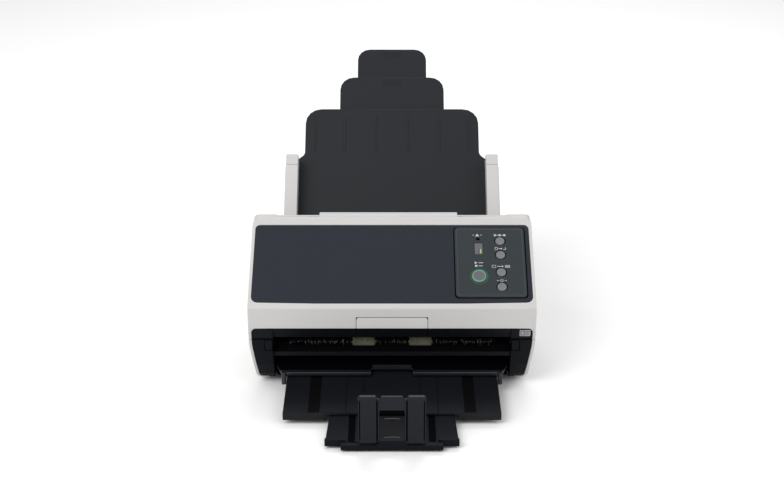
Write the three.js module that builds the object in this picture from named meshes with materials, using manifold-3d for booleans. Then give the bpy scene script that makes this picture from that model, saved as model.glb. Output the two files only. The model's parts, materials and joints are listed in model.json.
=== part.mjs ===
// Sheet fed document scanner with a tilted paper chute at the back and a pull-out stacker at the front.
// Millimetres, +Z up, +Y towards the back, +X to the right as seen from the front.
// Pieces are drawn with the desk at z = 0 and the front lip at y = 0. The last lines move the whole
// model so that the bottom centre of its bounding box is the origin.

import * as THREE from 'three';
import { mergeVertices } from 'three/addons/utils/BufferGeometryUtils.js';
import Module from 'manifold-3d';

const wasm = await Module();
wasm.setup();

// ---------------------------------------------------------------- driving dimensions
const HALF = 150;             // half the body's width
const WALL = 3;               // wall of the outer shells
const DEPTH = 170;            // front lip to rear wall
const TOP = 163;              // height of the ridge
const LIP_BOTTOM = 74;        // lower edge of the front lip
const GAP = 0.3;              // gap between neighbours
const INNER = HALF - WALL - 0.4; // half width of what lies between the side shells

const PANEL_SLOPE = 34.5;     // degrees, sloping front of the cover
const PANEL_FOOT = { y: 4.6, z: 100.5 };
const PANEL_LENGTH = 99.4;

const PATH_SLOPE = 24;        // degrees, straight paper path through the scanner
const PATH_EXIT = { y: 20, z: 54.6 };
const CHUTE_SLOPE = 46;       // degrees, plane that the paper stack rests on
const CHUTE_FOOT = { y: 150, z: 147 };
const STACKER_SLOPE = 3.5;    // degrees, stacker tray
const STACKER_FRONT = { y: -72, z: 12.3 };

const MOUTH_HALF = 125.2;     // half width of the front mouth
const FLOOR_HALF = 131.6;     // half width between the inturned lower edges of the side covers
const PIVOT = { y: 150, z: 112, r: 13 }; // hinge of the cover
const SPLIT = { y: 3.5, z: 60, rise: 0.296 }; // parting line between cover and base

const radians = THREE.MathUtils.degToRad;

// ---------------------------------------------------------------- finishes
const FINISHES = {
  white: [0xcccac8, 0.55, 0],
  dark: [0x2b2f33, 0.6, 0],
  panel: [0x3a3f45, 0.45, 0],
  operator: [0x40464b, 0.5, 0],
  black: [0x16181a, 0.7, 0],
  button: [0x777a7e, 0.5, 0],
  rubber: [0x45453a, 0.85, 0],
  foot: [0x1c1c1c, 0.9, 0],
  steel: [0xb4b6b8, 0.35, 1],
  glass: [0x30363a, 0.1, 0],
  board: [0x1f5a38, 0.6, 0],
  nylon: [0xd8d6cc, 0.5, 0],
};

// ---------------------------------------------------------------- solids
// Joins the shared vertices of a closed geometry and makes it a solid that can be joined and cut.
function toSolid(geometry) {
  geometry.deleteAttribute('normal');
  geometry.deleteAttribute('uv');
  const merged = mergeVertices(geometry, 1e-4);
  const vertProperties = Float32Array.from(merged.attributes.position.array);
  const triVerts = Uint32Array.from(merged.index.array);
  return new wasm.Manifold(new wasm.Mesh({ numProp: 3, vertProperties, triVerts }));
}

function toGeometry(solid) {
  const { vertProperties, triVerts } = solid.getMesh();
  const geometry = new THREE.BufferGeometry();
  geometry.setAttribute('position', new THREE.BufferAttribute(vertProperties, 3));
  geometry.setIndex(new THREE.BufferAttribute(triVerts, 1));
  geometry.computeVertexNormals();
  return geometry;
}

const join = (...solids) => solids.flat().reduce((all, one) => all.add(one));
const cut = (solid, ...cutters) => cutters.flat().reduce((left, one) => left.subtract(one), solid);
const both = (make) => [-1, 1].map(make);
const turned = (solid, slope, foot) => solid.rotate([slope, 0, 0]).translate([0, foot.y, foot.z]);
const evenSpan = (half) => [-half, half];
const sideSpan = (side, near, far) => (side < 0 ? [-far, -near] : [near, far]);

// Outline of [u, v, radius] corners, where a radius turns the corner into an arc.
function outline(corners, steps = 4) {
  const points = [];
  corners.forEach(([u, v, radius = 0], i) => {
    const here = new THREE.Vector2(u, v);
    if (radius === 0) {
      points.push(here);
      return;
    }
    const before = new THREE.Vector2(...corners.at(i - 1)).sub(here).normalize();
    const after = new THREE.Vector2(...corners[(i + 1) % corners.length]).sub(here).normalize();
    const half = Math.acos(before.dot(after)) / 2;
    const centre = before.clone().add(after).normalize().multiplyScalar(radius / Math.sin(half)).add(here);
    const reach = radius / Math.tan(half);
    const start = before.multiplyScalar(reach).add(here).sub(centre);
    const end = after.multiplyScalar(reach).add(here).sub(centre);
    const sweep = Math.atan2(start.cross(end), start.dot(end));
    for (let step = 0; step <= steps; step += 1) {
      const arm = start.clone().rotateAround(new THREE.Vector2(), (sweep * step) / steps);
      points.push(arm.add(centre));
    }
  });
  return new THREE.Shape(points);
}

function extruded(shape, depth, matrix) {
  const geometry = new THREE.ExtrudeGeometry(shape, { depth, bevelEnabled: false });
  return toSolid(geometry.applyMatrix4(matrix));
}

// Side profile of [y, z, radius] corners, run along X.
function profile(corners, [x0, x1], steps) {
  const axes = new THREE.Matrix4().makeBasis(
    new THREE.Vector3(0, 1, 0), new THREE.Vector3(0, 0, 1), new THREE.Vector3(1, 0, 0));
  return extruded(outline(corners, steps), x1 - x0, axes.setPosition(x0, 0, 0));
}

// Front view of [x, z, radius] corners, run along Y.
function front(corners, [y0, y1], steps) {
  const axes = new THREE.Matrix4().makeBasis(
    new THREE.Vector3(1, 0, 0), new THREE.Vector3(0, 0, 1), new THREE.Vector3(0, -1, 0));
  return extruded(outline(corners, steps), y1 - y0, axes.setPosition(0, y1, 0));
}

// Plan view of [x, y, radius] corners, run along Z.
function plan(corners, [z0, z1], steps) {
  return extruded(outline(corners, steps), z1 - z0, new THREE.Matrix4().setPosition(0, 0, z0));
}

function rectangle([u0, u1], [v0, v1], radius = 0) {
  return [[u0, v0, radius], [u1, v0, radius], [u1, v1, radius], [u0, v1, radius]];
}

const box = (x, y, z) => plan(rectangle(x, y), z);
const rodX = (r, x, { y, z }, sides = 24) => rod(r, x, sides, [0, Math.PI / 2, 0], [0, y, z]);
const rodZ = (r, z, [x, y], sides = 24) => rod(r, z, sides, [0, 0, 0], [x, y, 0]);

// Cylinder between two stations on its own Z axis, then turned and moved.
function rod(r, [from, to], sides, turn, place) {
  const geometry = new THREE.CylinderGeometry(r, r, to - from, sides);
  geometry.rotateX(Math.PI / 2).translate(0, 0, (from + to) / 2);
  geometry.applyMatrix4(new THREE.Matrix4().makeRotationFromEuler(new THREE.Euler(...turn)));
  return toSolid(geometry.translate(...place));
}

// ---------------------------------------------------------------- scene helpers
const scanner = new THREE.Group();

function frame(slope, foot) {
  const group = new THREE.Group();
  group.position.set(0, foot.y, foot.z);
  group.rotation.x = radians(slope);
  scanner.add(group);
  return group;
}

const panelFrame = frame(PANEL_SLOPE, PANEL_FOOT);
const pathFrame = frame(PATH_SLOPE, PATH_EXIT);
const chuteFrame = frame(CHUTE_SLOPE, CHUTE_FOOT);
const stackerFrame = frame(STACKER_SLOPE, STACKER_FRONT);

function add(name, solid, finish, parent = scanner) {
  const [color, roughness, metalness] = FINISHES[finish];
  const mesh = new THREE.Mesh(
    toGeometry(solid), new THREE.MeshStandardMaterial({ color, roughness, metalness }));
  mesh.name = name;
  parent.add(mesh);
}

const splitAt = (y) => SPLIT.z + (y - SPLIT.y) * SPLIT.rise;

// A point on the straight paper path at depth y, moved off it by some distance along its normal.
function besidePath(y, off) {
  const slope = radians(PATH_SLOPE);
  const z = PATH_EXIT.z + (y - PATH_EXIT.y) * Math.tan(slope);
  return { y: y - off * Math.sin(slope), z: z + off * Math.cos(slope) };
}

// ---------------------------------------------------------------- rollers
const ROLLERS = {
  pick: { r: 12, centre: besidePath(88, -12), tyre: [12, 30] },
  feed: { r: 9, centre: besidePath(66, -9), tyre: [20, 42] },
  eject: { r: 8, centre: besidePath(22, -8), tyre: [18.3, 41.3] },
  brake: { r: 9, centre: besidePath(88, 9 + GAP), tyre: [0, 24] },
  feedIdler: { r: 6, centre: besidePath(66, 6 + GAP), tyre: [20, 42] },
  ejectIdler: { r: 5.5, centre: besidePath(22, 5.5 + GAP), tyre: [19, 41] },
};
const SHAFT = 4;              // radius of the driven shafts
const IDLER_SHAFT = 2;        // radius of the idler shafts
const SHAFT_CLEARANCE = 0.3;
const SIDE_FRAME = { near: 128, far: 129.6 };
const UPPER_PLATE = { near: 120, far: 122.5 };
const BELT = { near: 133, far: 138, thick: 1.2 };
const MOTOR = { centre: { y: 116, z: 52 }, r: 17, pulley: 7 };
const PULLEYS = { feed: 9, eject: 8 };

function addDrivenRoller(name, pulley) {
  const { r, centre, tyre: [near, far] } = ROLLERS[name];
  let shaft = rodX(SHAFT, pulley ? [-BELT.far - 2, 132] : [-132, 132], centre, 16);
  if (pulley) {
    shaft = join(shaft, rodX(pulley, [-BELT.far, -BELT.near], centre));
  }
  add(`${name}_shaft`, shaft, 'steel');
  both((side) => {
    const tyre = cut(rodX(r, sideSpan(side, near, far), centre, 32),
      rodX(SHAFT + 0.2, [-HALF, HALF], centre, 16));
    add(`${name}_tyre_${side < 0 ? 'left' : 'right'}`, tyre, 'rubber');
  });
}

function addIdler(name, node) {
  const { r, centre, tyre: [near, far] } = ROLLERS[name];
  const reach = UPPER_PLATE.far + 1;
  const tyres = near === 0 ? [rodX(r, [-far, far], centre, 28)]
    : both((side) => rodX(r, sideSpan(side, near, far), centre, 24));
  add(node, join(rodX(IDLER_SHAFT, [-reach, reach], centre, 12), tyres), 'rubber');
}

// ---------------------------------------------------------------- cover
const SLOPE_RISE = Math.tan(radians(PANEL_SLOPE));
const slopeZ = (y, inset = 0) => PANEL_FOOT.z + (y - PANEL_FOOT.y) * SLOPE_RISE
  - inset / Math.cos(radians(PANEL_SLOPE));
const slopeY = (z, inset = 0) => PANEL_FOOT.y + (z - slopeZ(PANEL_FOOT.y, inset)) / SLOPE_RISE;
const BUTTONS = {
  function_button: { x: 115.1, s: 77.9, r: 4.9 },
  send_button: { x: 115.1, s: 60.2, r: 4.9 },
  manual_feed_button: { x: 115.1, s: 38.2, r: 4.9 },
  power_button: { x: 115.1, s: 19.9, r: 4.9 },
  scan_button: { x: 91.6, s: 33.5, r: 7.5 },
};
const BUTTON_GAP = 0.4;
const TAB = { half: 37.1, top: 86, thick: 3.2 };

const buttonHoles = (depth) => Object.values(BUTTONS).map(
  ({ x, s, r }) => rodZ(r + BUTTON_GAP, [-depth, depth], [x, s], 20));

function coverShell() {
  const ridge = [slopeY(TOP), TOP, 8];
  const lip = [0, slopeZ(0), 4];
  const middle = profile([[0, LIP_BOTTOM], lip, ridge, [104, TOP, 3], [97, 101]], evenSpan(HALF));
  const wings = both((side) => join(
    profile([[0, LIP_BOTTOM], lip, ridge, [104, TOP, 3], [156, 123.5], [150, 101], [139.5, 104],
      [137, splitAt(137)], [SPLIT.y, SPLIT.z]], sideSpan(side, MOUTH_HALF, HALF)),
    rodX(PIVOT.r, sideSpan(side, MOUTH_HALF, HALF), PIVOT, 32)));
  const hump = profile([[97, 155], [97, TOP], [100, 164.2, 1], [107.5, 164.2, 1.5], [108.5, 157], [103, 150]],
    [-78.6, 70.6]);
  const round = join(
    front([[-HALF, 0], [HALF, 0], [HALF, TOP, 7], [-HALF, TOP, 7]], [-20, 190]),
    box([-90, 90], [90, 112], [150, 170]));
  const inside = profile([[WALL, 40], [WALL, slopeZ(WALL, WALL)], [slopeY(TOP - WALL, WALL), TOP - WALL],
    [100.6, TOP - WALL], [94, 101], [94, 40]], evenSpan(HALF - WALL));
  const wingInside = both((side) => profile([[90, 40], [90, 140], [101, TOP - WALL], [138, 130], [138, 40]],
    sideSpan(side, MOUTH_HALF + WALL, HALF - WALL)));
  const behindBand = box(evenSpan(HALF - WALL), [-5, 90], [0, LIP_BOTTOM]);
  const recess = turned(plan(panelOutline(0.35), [-1.9, 4]), PANEL_SLOPE, PANEL_FOOT);
  const holes = buttonHoles(12).map((hole) => turned(hole, PANEL_SLOPE, PANEL_FOOT));
  const tabNotch = box(evenSpan(TAB.half + 0.4), [-1, TAB.thick + 0.8], [60, TAB.top + 0.7]);
  const pins = rodX(3.3, [-HALF - 1, HALF + 1], PIVOT, 16);
  const shell = join(middle, wings, hump).intersect(round);
  return cut(shell, inside, wingInside, behindBand, recess, holes, tabNotch, pins);
}

// Plan of the dark front panel in the panel frame, with a bowed lower edge.
function panelOutline(grow) {
  const half = 146.6 + grow;
  const bow = 1.8;
  return [[-half, bow - grow, 7], [-80, 0.5 - grow], [80, 0.5 - grow], [half, bow - grow, 7],
    [half - 0.4, PANEL_LENGTH + grow, 5], [-half + 0.4, PANEL_LENGTH + grow, 5]];
}

const OPERATOR = { x: [66.8, 141], s: [7.4, 95.2], radius: 4, top: 1.2 };
const DISPLAY = { x: [87.6, 96.6], s: [60.9, 75.2] };

function addCover() {
  add('cover_shell', coverShell(), 'white');
  add('front_panel', cut(plan(panelOutline(0), [-1.6, 0]), buttonHoles(9)), 'panel', panelFrame);
  const windowHole = plan(rectangle(DISPLAY.x, DISPLAY.s, 0.8), [-1, 4]);
  add('operator_panel', cut(plan(rectangle(OPERATOR.x, OPERATOR.s, OPERATOR.radius), [GAP, OPERATOR.top]),
    windowHole, buttonHoles(9)), 'operator', panelFrame);
  const [x0, x1] = DISPLAY.x;
  const [s0, s1] = DISPLAY.s;
  add('display_window', plan(rectangle([x0 + GAP, x1 - GAP], [s0 + GAP, s1 - GAP], 0.6), [GAP, 1.0]),
    'glass', panelFrame);
  Object.entries(BUTTONS).forEach(([name, { x, s, r }]) => {
    const cap = join(rodZ(r, [-4, 1.9], [x, s], 28), rodZ(r + 1.2, [-6, -4], [x, s], 20));
    add(name, cap, 'button', panelFrame);
  });
  const lug = both((side) => box(sideSpan(side, 24, 28), [TAB.thick - 0.5, 9], [81, 85.5]));
  add('release_tab', join(front([[-TAB.half, LIP_BOTTOM], [TAB.half, LIP_BOTTOM], [TAB.half, TAB.top, 3],
    [-TAB.half, TAB.top, 3]], [0.1, TAB.thick]), lug), 'white');
  add('cover_inner_frame', innerFrame(), 'dark');
}

function innerFrame() {
  const band = LIP_BOTTOM - 0.6;
  const strip = profile([[1.2, band], [8, 60.6], [14, 58.3], [60, 76.4], [85, 87.5], [91.5, 97.5], [89, 99],
    [83.5, 90], [59, 79.1], [14.5, 61.2], [10, 62.8], [4.2, band]], evenSpan(125));
  const ends = both((side) => profile([[1.2, band], [4.2, 60.8], [16, 61.2], [16, band]],
    sideSpan(side, 124.6, INNER)));
  const plates = both((side) => profile([[4.2, band], [10, 62], [14.5, 60.5], [59, 78.5], [83.5, 89.5],
    [89, 98.5], [89, 135], [60, 126], [12, 94]], sideSpan(side, UPPER_PLATE.near, UPPER_PLATE.far)));
  const windows = [
    ...both((side) => box(sideSpan(side, 18, 42.5), [12.5, 28], [50, 68])),
    ...both((side) => box(sideSpan(side, 19, 43), [57, 71], [70, 92])),
    box(evenSpan(25), [74, 96], [75, 110]),
    turned(box(evenSpan(108), [20, 36], [-2, 12]), PATH_SLOPE, PATH_EXIT),
  ];
  const bores = ['brake', 'feedIdler', 'ejectIdler'].map((name) => rodX(
    IDLER_SHAFT + SHAFT_CLEARANCE, evenSpan(124), ROLLERS[name].centre, 12));
  return cut(join(strip, ends, plates), windows, bores);
}

function addCoverInsides() {
  addIdler('brake', 'brake_roller');
  addIdler('feedIdler', 'feed_idler');
  addIdler('ejectIdler', 'eject_idler');
  add('upper_scan_unit', cut(profile([[16, 8.6], [40, 8.6], [40, 20], [34, 26], [22, 26], [16, 20]],
    evenSpan(114)), box(evenSpan(107), [21, 35], [7, 16])), 'black', pathFrame);
  add('upper_scan_glass', box(evenSpan(107.6), [20.4, 35.6], [3.4, 5.2]), 'glass', pathFrame);
  add('antistatic_brush', join(box(evenSpan(108), [9.8, 11], [54.6, 58]),
    box(evenSpan(108), [9, 11.8], [57, 58.7])), 'steel');
  both((side) => add(`hinge_pin_${side < 0 ? 'left' : 'right'}`,
    rodX(3, sideSpan(side, 121.2, 146.5), PIVOT, 16), 'steel'));
}

// ---------------------------------------------------------------- base
const BASE_FRONT = [[4.2, 59.3], [6.8, 45, 20], [12.5, 27, 20], [21, 12, 12], [32, 3.4, 6]];

const TUCK = { high: 54, low: 10, by: 5 }; // how the sides draw in towards the foot

// Front view of the body's lower half at some half width, with sides that draw in and a rounded foot.
function tuckedSides(half, bottom, radius) {
  const foot = half - TUCK.by;
  const right = [[foot - 1, bottom, radius], [foot + 0.6, 20, 30], [half, TUCK.high, 60], [half, 150]];
  return [...right, ...right.toReversed().map(([x, z, r]) => [-x, z, r])];
}

function sideCover(side) {
  const skin = profile([[SPLIT.y, splitAt(SPLIT.y) - 0.6], [6, 45, 20], [11.5, 27, 20], [20, 12, 12],
    [31, 3, 6], [DEPTH, 3, 5], [DEPTH, splitAt(DEPTH) - 0.6]], sideSpan(side, FLOOR_HALF + 0.4, HALF));
  const round = front(tuckedSides(HALF, 3, 8), [-5, DEPTH + 5]);
  const inside = front(tuckedSides(HALF - WALL, 3 + WALL, 5), [-5, DEPTH + 5]);
  return cut(skin.intersect(round), inside, rodX(PIVOT.r + 0.6, evenSpan(HALF + 1), PIVOT, 32));
}

// The room inside the side covers and above their inturned lower edges.
function betweenShells() {
  return join(front(tuckedSides(INNER, 2 * WALL + 0.6, 5), [-5, DEPTH + 5]),
    box(evenSpan(FLOOR_HALF), [-5, DEPTH + 5], [0, 110]));
}

function cheek(side) {
  const block = profile([...BASE_FRONT, [44, 3.4], [44, 59.3]], sideSpan(side, MOUTH_HALF, INNER));
  const hollow = profile([[9.6, 62], [10.6, 45], [17, 26], [60, 26], [60, 62]],
    sideSpan(side, MOUTH_HALF + 2.2, INNER - 2.6));
  const bore = rodX(SHAFT + SHAFT_CLEARANCE, evenSpan(HALF), ROLLERS.eject.centre, 16);
  return cut(block.intersect(betweenShells()), hollow, bore);
}

function rearCover() {
  const wall = [DEPTH - WALL, DEPTH];
  const wide = box(evenSpan(INNER), wall, [6.6, splitAt(DEPTH) - 0.9]).intersect(betweenShells());
  const middle = box(evenSpan(119), wall, [90, 140]);
  const cradle = turned(box(evenSpan(119), [-62, 6], [-17.5, -14.5]), CHUTE_SLOPE, CHUTE_FOOT);
  const cheeks = both((side) => profile([[118, 103], [164.5, 151], [DEPTH, 146], [DEPTH, 90], [160, 90],
    [122, 88], [112, 92]], sideSpan(side, 118.6, 121)));
  const vents = [0, 1, 2, 3, 4].map((row) => box([-96, -30], [160, 180], [58 + 8 * row, 61.5 + 8 * row]));
  const ports = [box([92, 108], [160, 180], [16, 32]), box([66, 84], [160, 180], [16, 32])];
  const chuteRoom = turned(box(evenSpan(200), [-100, 200], [-6, 60]), CHUTE_SLOPE, CHUTE_FOOT);
  return cut(join(wide, middle, cradle, cheeks), vents, ports, chuteRoom);
}

function addBaseShells() {
  both((side) => {
    const hand = side < 0 ? 'left' : 'right';
    add(`side_cover_${hand}`, sideCover(side), 'white');
    add(`cheek_${hand}`, cheek(side), 'dark');
    add(`side_frame_${hand}`, sideFrame(side), 'steel');
  });
  add('rear_cover', rearCover(), 'white');
  const rails = both((side) => box(sideSpan(side, 112.5, 115), [32, 130], [5, 30]));
  const roof = join(...both((side) => box(sideSpan(side, 90, 115), [36, 130], [29, 31.5])));
  const floor = join(box(evenSpan(FLOOR_HALF), [45, 166], [3.2, 6]), box(evenSpan(124), [36, 46], [3.2, 6]));
  add('base_tray', join(floor, rails, roof), 'black');
  add('front_scoop', frontScoop(), 'dark');
  [-1, 1].forEach((side) => [['front', 58], ['rear', 150]].forEach(([end, y]) => {
    add(`rubber_foot_${end}_${side < 0 ? 'left' : 'right'}`, rodZ(9, [0, 2.8], [side * 118, y]), 'foot');
  }));
}

function sideFrame(side) {
  const plate = profile([[48, 10], [48, 26], [13, 42], [13, 58], [90, splitAt(90) - 3],
    [134, splitAt(134) - 5], [134, 10]], sideSpan(side, SIDE_FRAME.near, SIDE_FRAME.far));
  const bores = ['pick', 'feed', 'eject'].map((name) => rodX(SHAFT + SHAFT_CLEARANCE, evenSpan(HALF),
    ROLLERS[name].centre, 16));
  const motorBore = side < 0 ? [rodX(3.4, evenSpan(HALF), MOTOR.centre, 16)] : [];
  return cut(plate, bores, motorBore);
}

function frontScoop() {
  const ramp = profile([[2, 18.2], [7, 18.2], [10, 19.4], [31, 28.6], [31, 31.2], [8, 22.4], [2, 22.4, 1]],
    evenSpan(124.8));
  const planView = plan([[-113.6, 0], [113.6, 0], [124.8, 20], [124.8, 40], [-124.8, 40], [-124.8, 20]],
    [0, 60]);
  const notch = box(evenSpan(22.2), [0, 12], [10, 40]);
  const legs = both((side) => box(sideSpan(side, 111.9, 116.6), [0.6, 6.4], [8.6, 22.2]));
  return join(cut(ramp.intersect(planView), notch), legs);
}

function lowerGuide() {
  const at = (y, off) => Object.values(besidePath(y, off));
  const strip = profile([[12, 37], [14.8, 37], [14.8, 41.5], [20.5, 49.6], at(32, -3.3), at(89, -3.3),
    [98, 88], [96.2, 90], at(89, -0.8), at(30, -0.8), [17.5, 50.6], [12, 42]], evenSpan(MOUTH_HALF - 0.4));
  const windows = [
    ...both((side) => box(sideSpan(side, 17.3, 42.3), [15.6, 35], [38, 80])),
    ...both((side) => box(sideSpan(side, 19, 43), [58.5, 81], [60, 90])),
    ...both((side) => box(sideSpan(side, 11, 31), [79.5, 110], [60, 100])),
    turned(box(evenSpan(108), [20, 36], [-9, 3]), PATH_SLOPE, PATH_EXIT),
  ];
  return cut(strip, windows, rodX(SHAFT + 0.5, evenSpan(HALF), ROLLERS.eject.centre, 20));
}

function addPaperPath() {
  add('lower_paper_guide', lowerGuide(), 'dark');
  add('lower_scan_unit', cut(profile([[16, -3.7], [16, -18], [21, -23], [33, -23], [38, -18], [38, -3.7]],
    evenSpan(114)), box(evenSpan(107), [21, 35], [-14, -2])), 'black', pathFrame);
  add('lower_scan_glass', box(evenSpan(107.6), [20.4, 35.6], [-3.2, -1.2]), 'glass', pathFrame);
  addDrivenRoller('pick', 0);
  addDrivenRoller('feed', PULLEYS.feed);
  addDrivenRoller('eject', PULLEYS.eject);
}

// Closed loop round the pulleys, grown by some distance.
function beltLoop(grow) {
  const wheels = [{ ...MOTOR.centre, r: MOTOR.pulley }, { ...ROLLERS.feed.centre, r: PULLEYS.feed },
    { ...ROLLERS.eject.centre, r: PULLEYS.eject }];
  const rods = wheels.map((wheel) => rodX(wheel.r + grow, [-BELT.far, -BELT.near], wheel, 24));
  return wasm.Manifold.hull(rods);
}

function addDrive() {
  const body = join(rodX(MOTOR.r, [-126, -92], MOTOR.centre, 28), rodX(8, [-127.6, -125], MOTOR.centre, 20));
  add('feed_motor', body, 'steel');
  const pulleyRod = rodX(3, [-BELT.far - 1, -127.9], MOTOR.centre, 14);
  add('motor_pulley', join(pulleyRod, rodX(MOTOR.pulley, [-BELT.far, -BELT.near], MOTOR.centre)), 'steel');
  add('drive_belt', cut(beltLoop(GAP + BELT.thick), beltLoop(GAP)), 'foot');
  const chips = [[-70, 40], [-30, 56], [10, 44]].map(([x, z]) => box([x, x + 18], [150, 153], [z, z + 16]));
  add('main_board', join(box([-90, 56], [152, 153.6], [34, 84]), chips), 'board');
  add('dc_inlet', cut(box([94, 106], [155, 169.6], [18, 30]),
    rod(3.4, [-170.5, -159], 16, [Math.PI / 2, 0, 0], [100, 0, 24])), 'black');
  add('usb_port', cut(box([68.5, 81.5], [155, 169.4], [18, 30]), box([71, 79], [158, 171], [20.5, 27.5])),
    'steel');
}

// ---------------------------------------------------------------- paper chute
const RACK = { low: -8.6, high: -5.2, pinion: 8, y: -14 };
const GUIDE = { near: 105.2, far: 118.6, s: [-28, 65], height: 20 };

function addChute() {
  const slots = both((side) => box(sideSpan(side, 22, 112), [RACK.y - 3.4, RACK.y + 3.4], [-9, 4]));
  const plate = plan([[-116, -75, 4], [116, -75, 4], [116, 60, 6], [99, 74, 8], [99, 132, 18], [-99, 132, 18],
    [-99, 74, 8], [-116, 60, 6]], [-4.8, -0.8]);
  const rails = both((side) => box(sideSpan(side, 60.6, 64), [38, 128], [-11, -4.6]));
  const ledges = both((side) => box(sideSpan(side, 55, 61), [38, 128], [-11, -9.7]));
  add('paper_chute', cut(join(plate, rails, ledges), slots), 'dark', chuteFrame);
  [['side_guide_left', -1], ['side_guide_right', 1]].forEach(([name, side]) => {
    add(name, sideGuide(side), 'white', chuteFrame);
  });
  add('guide_pinion', rodZ(RACK.pinion - GAP, [RACK.low, RACK.high], [0, RACK.y], 20), 'nylon', chuteFrame);
  add('chute_extension_1', plan([[-60, 44], [60, 44], [60, 176, 16], [-60, 176, 16]], [-9.3, -5.2]),
    'dark', chuteFrame);
  add('chute_extension_2', plan([[-40, 110], [40, 110], [40, 216, 14], [-40, 216, 14]], [-13.4, -9.7]),
    'dark', chuteFrame);
}

function sideGuide(side) {
  const [s0, s1] = GUIDE.s;
  const wall = profile([[s0, -0.4], [s1, -0.4], [s1, GUIDE.height, 3], [s0 + 6, GUIDE.height, 3], [s0, 8, 2]],
    sideSpan(side, GUIDE.near, GUIDE.far));
  const hole = box(sideSpan(side, 112.6, 130), [15, 21], [8, 14]);
  const stem = box(sideSpan(side, 105.6, 110), [RACK.y - 2.8, RACK.y + 2.8], [-7, 0]);
  const near = RACK.y - side * (RACK.pinion + 1.8);
  const rack = box(side < 0 ? [-110, 10] : [-10, 110], [near - 1.5, near + 1.5], [RACK.low, RACK.high]);
  const link = box(sideSpan(side, 105.6, 110), [Math.min(near, RACK.y) - 1.5, Math.max(near, RACK.y) + 1.5],
    [RACK.low, RACK.high]);
  return join(cut(wall, hole), stem, rack, link);
}

// ---------------------------------------------------------------- stacker
function addStacker() {
  const channel = box(evenSpan(66.8), [-1, 133], [-8, -1.9]);
  const bands = both((side) => box(sideSpan(side, 73.5, 85.7), [3, 133], [-0.8, 1]));
  const grooves = [29, 47].flatMap((x) => both((side) => box(
    sideSpan(side, x - 0.5, x + 0.5), [0.8, 133], [-0.5, 1])));
  add('stacker_tray', cut(join(box(evenSpan(110.9), [0, 132], [-6.2, 0]),
    box(evenSpan(110.9), [0, 2.6], [-7.6, 0])), channel, bands, grooves), 'dark', stackerFrame);

  const plate = plan([[-66, -50.2], [66, -50.2], [63.6, -2], [63.6, 62], [-63.6, 62], [-63.6, -2]],
    [-5.6, -2.2]);
  const caps = both((side) => box(sideSpan(side, 45.4, 66.4), [-50.4, -46.8], [-6.8, 0.6]));
  const under = box(evenSpan(44.6), [-60, 63], [-7, -3.9]);
  const slots = both((side) => box(sideSpan(side, 36.5, 43.5), [-52, 30], [-3, 1]));
  add('stacker_extension_1', cut(join(plate, caps), under, slots), 'dark', stackerFrame);

  const lip = join(box(evenSpan(50.4), [-57.6, -50.8], [-7, -1.2]), plan([[-13, -57.6], [13, -57.6],
    [10, -51], [-10, -51]], [-2, 3.9]));
  const feet = both((side) => rodZ(2.4, [-7.9, -6], [side * 35, -54.5], 12));
  add('stacker_extension_2', join(box(evenSpan(44), [-52, 8], [-5.6, -4.2]), lip, feet), 'dark',
    stackerFrame);
  add('stacker_stopper', stopper(), 'dark', stackerFrame);
}

const STOPPER = { y: -54.4, z: 1.6, thick: 4, top: 52.8 };

function stopper() {
  const { y, z, thick, top } = STOPPER;
  const depth = [y - thick / 2, y + thick / 2];
  const prongs = both((side) => front([...(side < 0 ? [[-32.4, z], [-15, z], [-15, top, 3], [-32.4, top, 3]]
    : [[15, z], [32.4, z], [32.4, top, 3], [15, top, 3]])], depth));
  const knuckles = both((side) => rodX(thick / 2, sideSpan(side, 15, 32.4), { y, z }, 16));
  const tab = front([[-16, 37.2], [16, 37.2], [16, 49], [12.4, 49], [10, top - 0.4], [-10, top - 0.4],
    [-12.4, 49], [-16, 49]], [y - 1.2, y + 1.6]);
  return join(prongs, knuckles, tab);
}

// ---------------------------------------------------------------- assembly
addCover();
addCoverInsides();
addBaseShells();
addPaperPath();
addDrive();
addChute();
addStacker();

scanner.updateMatrixWorld(true);
const bounds = new THREE.Box3().setFromObject(scanner, true);
const middle = bounds.getCenter(new THREE.Vector3());
scanner.position.set(-middle.x, -middle.y, -bounds.min.z);

export default scanner;
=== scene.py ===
"""Looks and fine detail of a sheet fed document scanner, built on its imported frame.

Shapes are drawn in millimetres on working planes (the desk, the sloping front panel, the paper chute and the
stacker tray) and published in metres, where each piece rides on the body that carries it.
"""

from __future__ import annotations

import json
import logging
import math
import random
from collections.abc import Callable, Iterable, Sequence
from dataclasses import dataclass
from enum import Enum
from typing import Any

import bmesh
import bpy
from bmesh.types import BMesh, BMVert
from mathutils import Matrix, Vector

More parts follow.
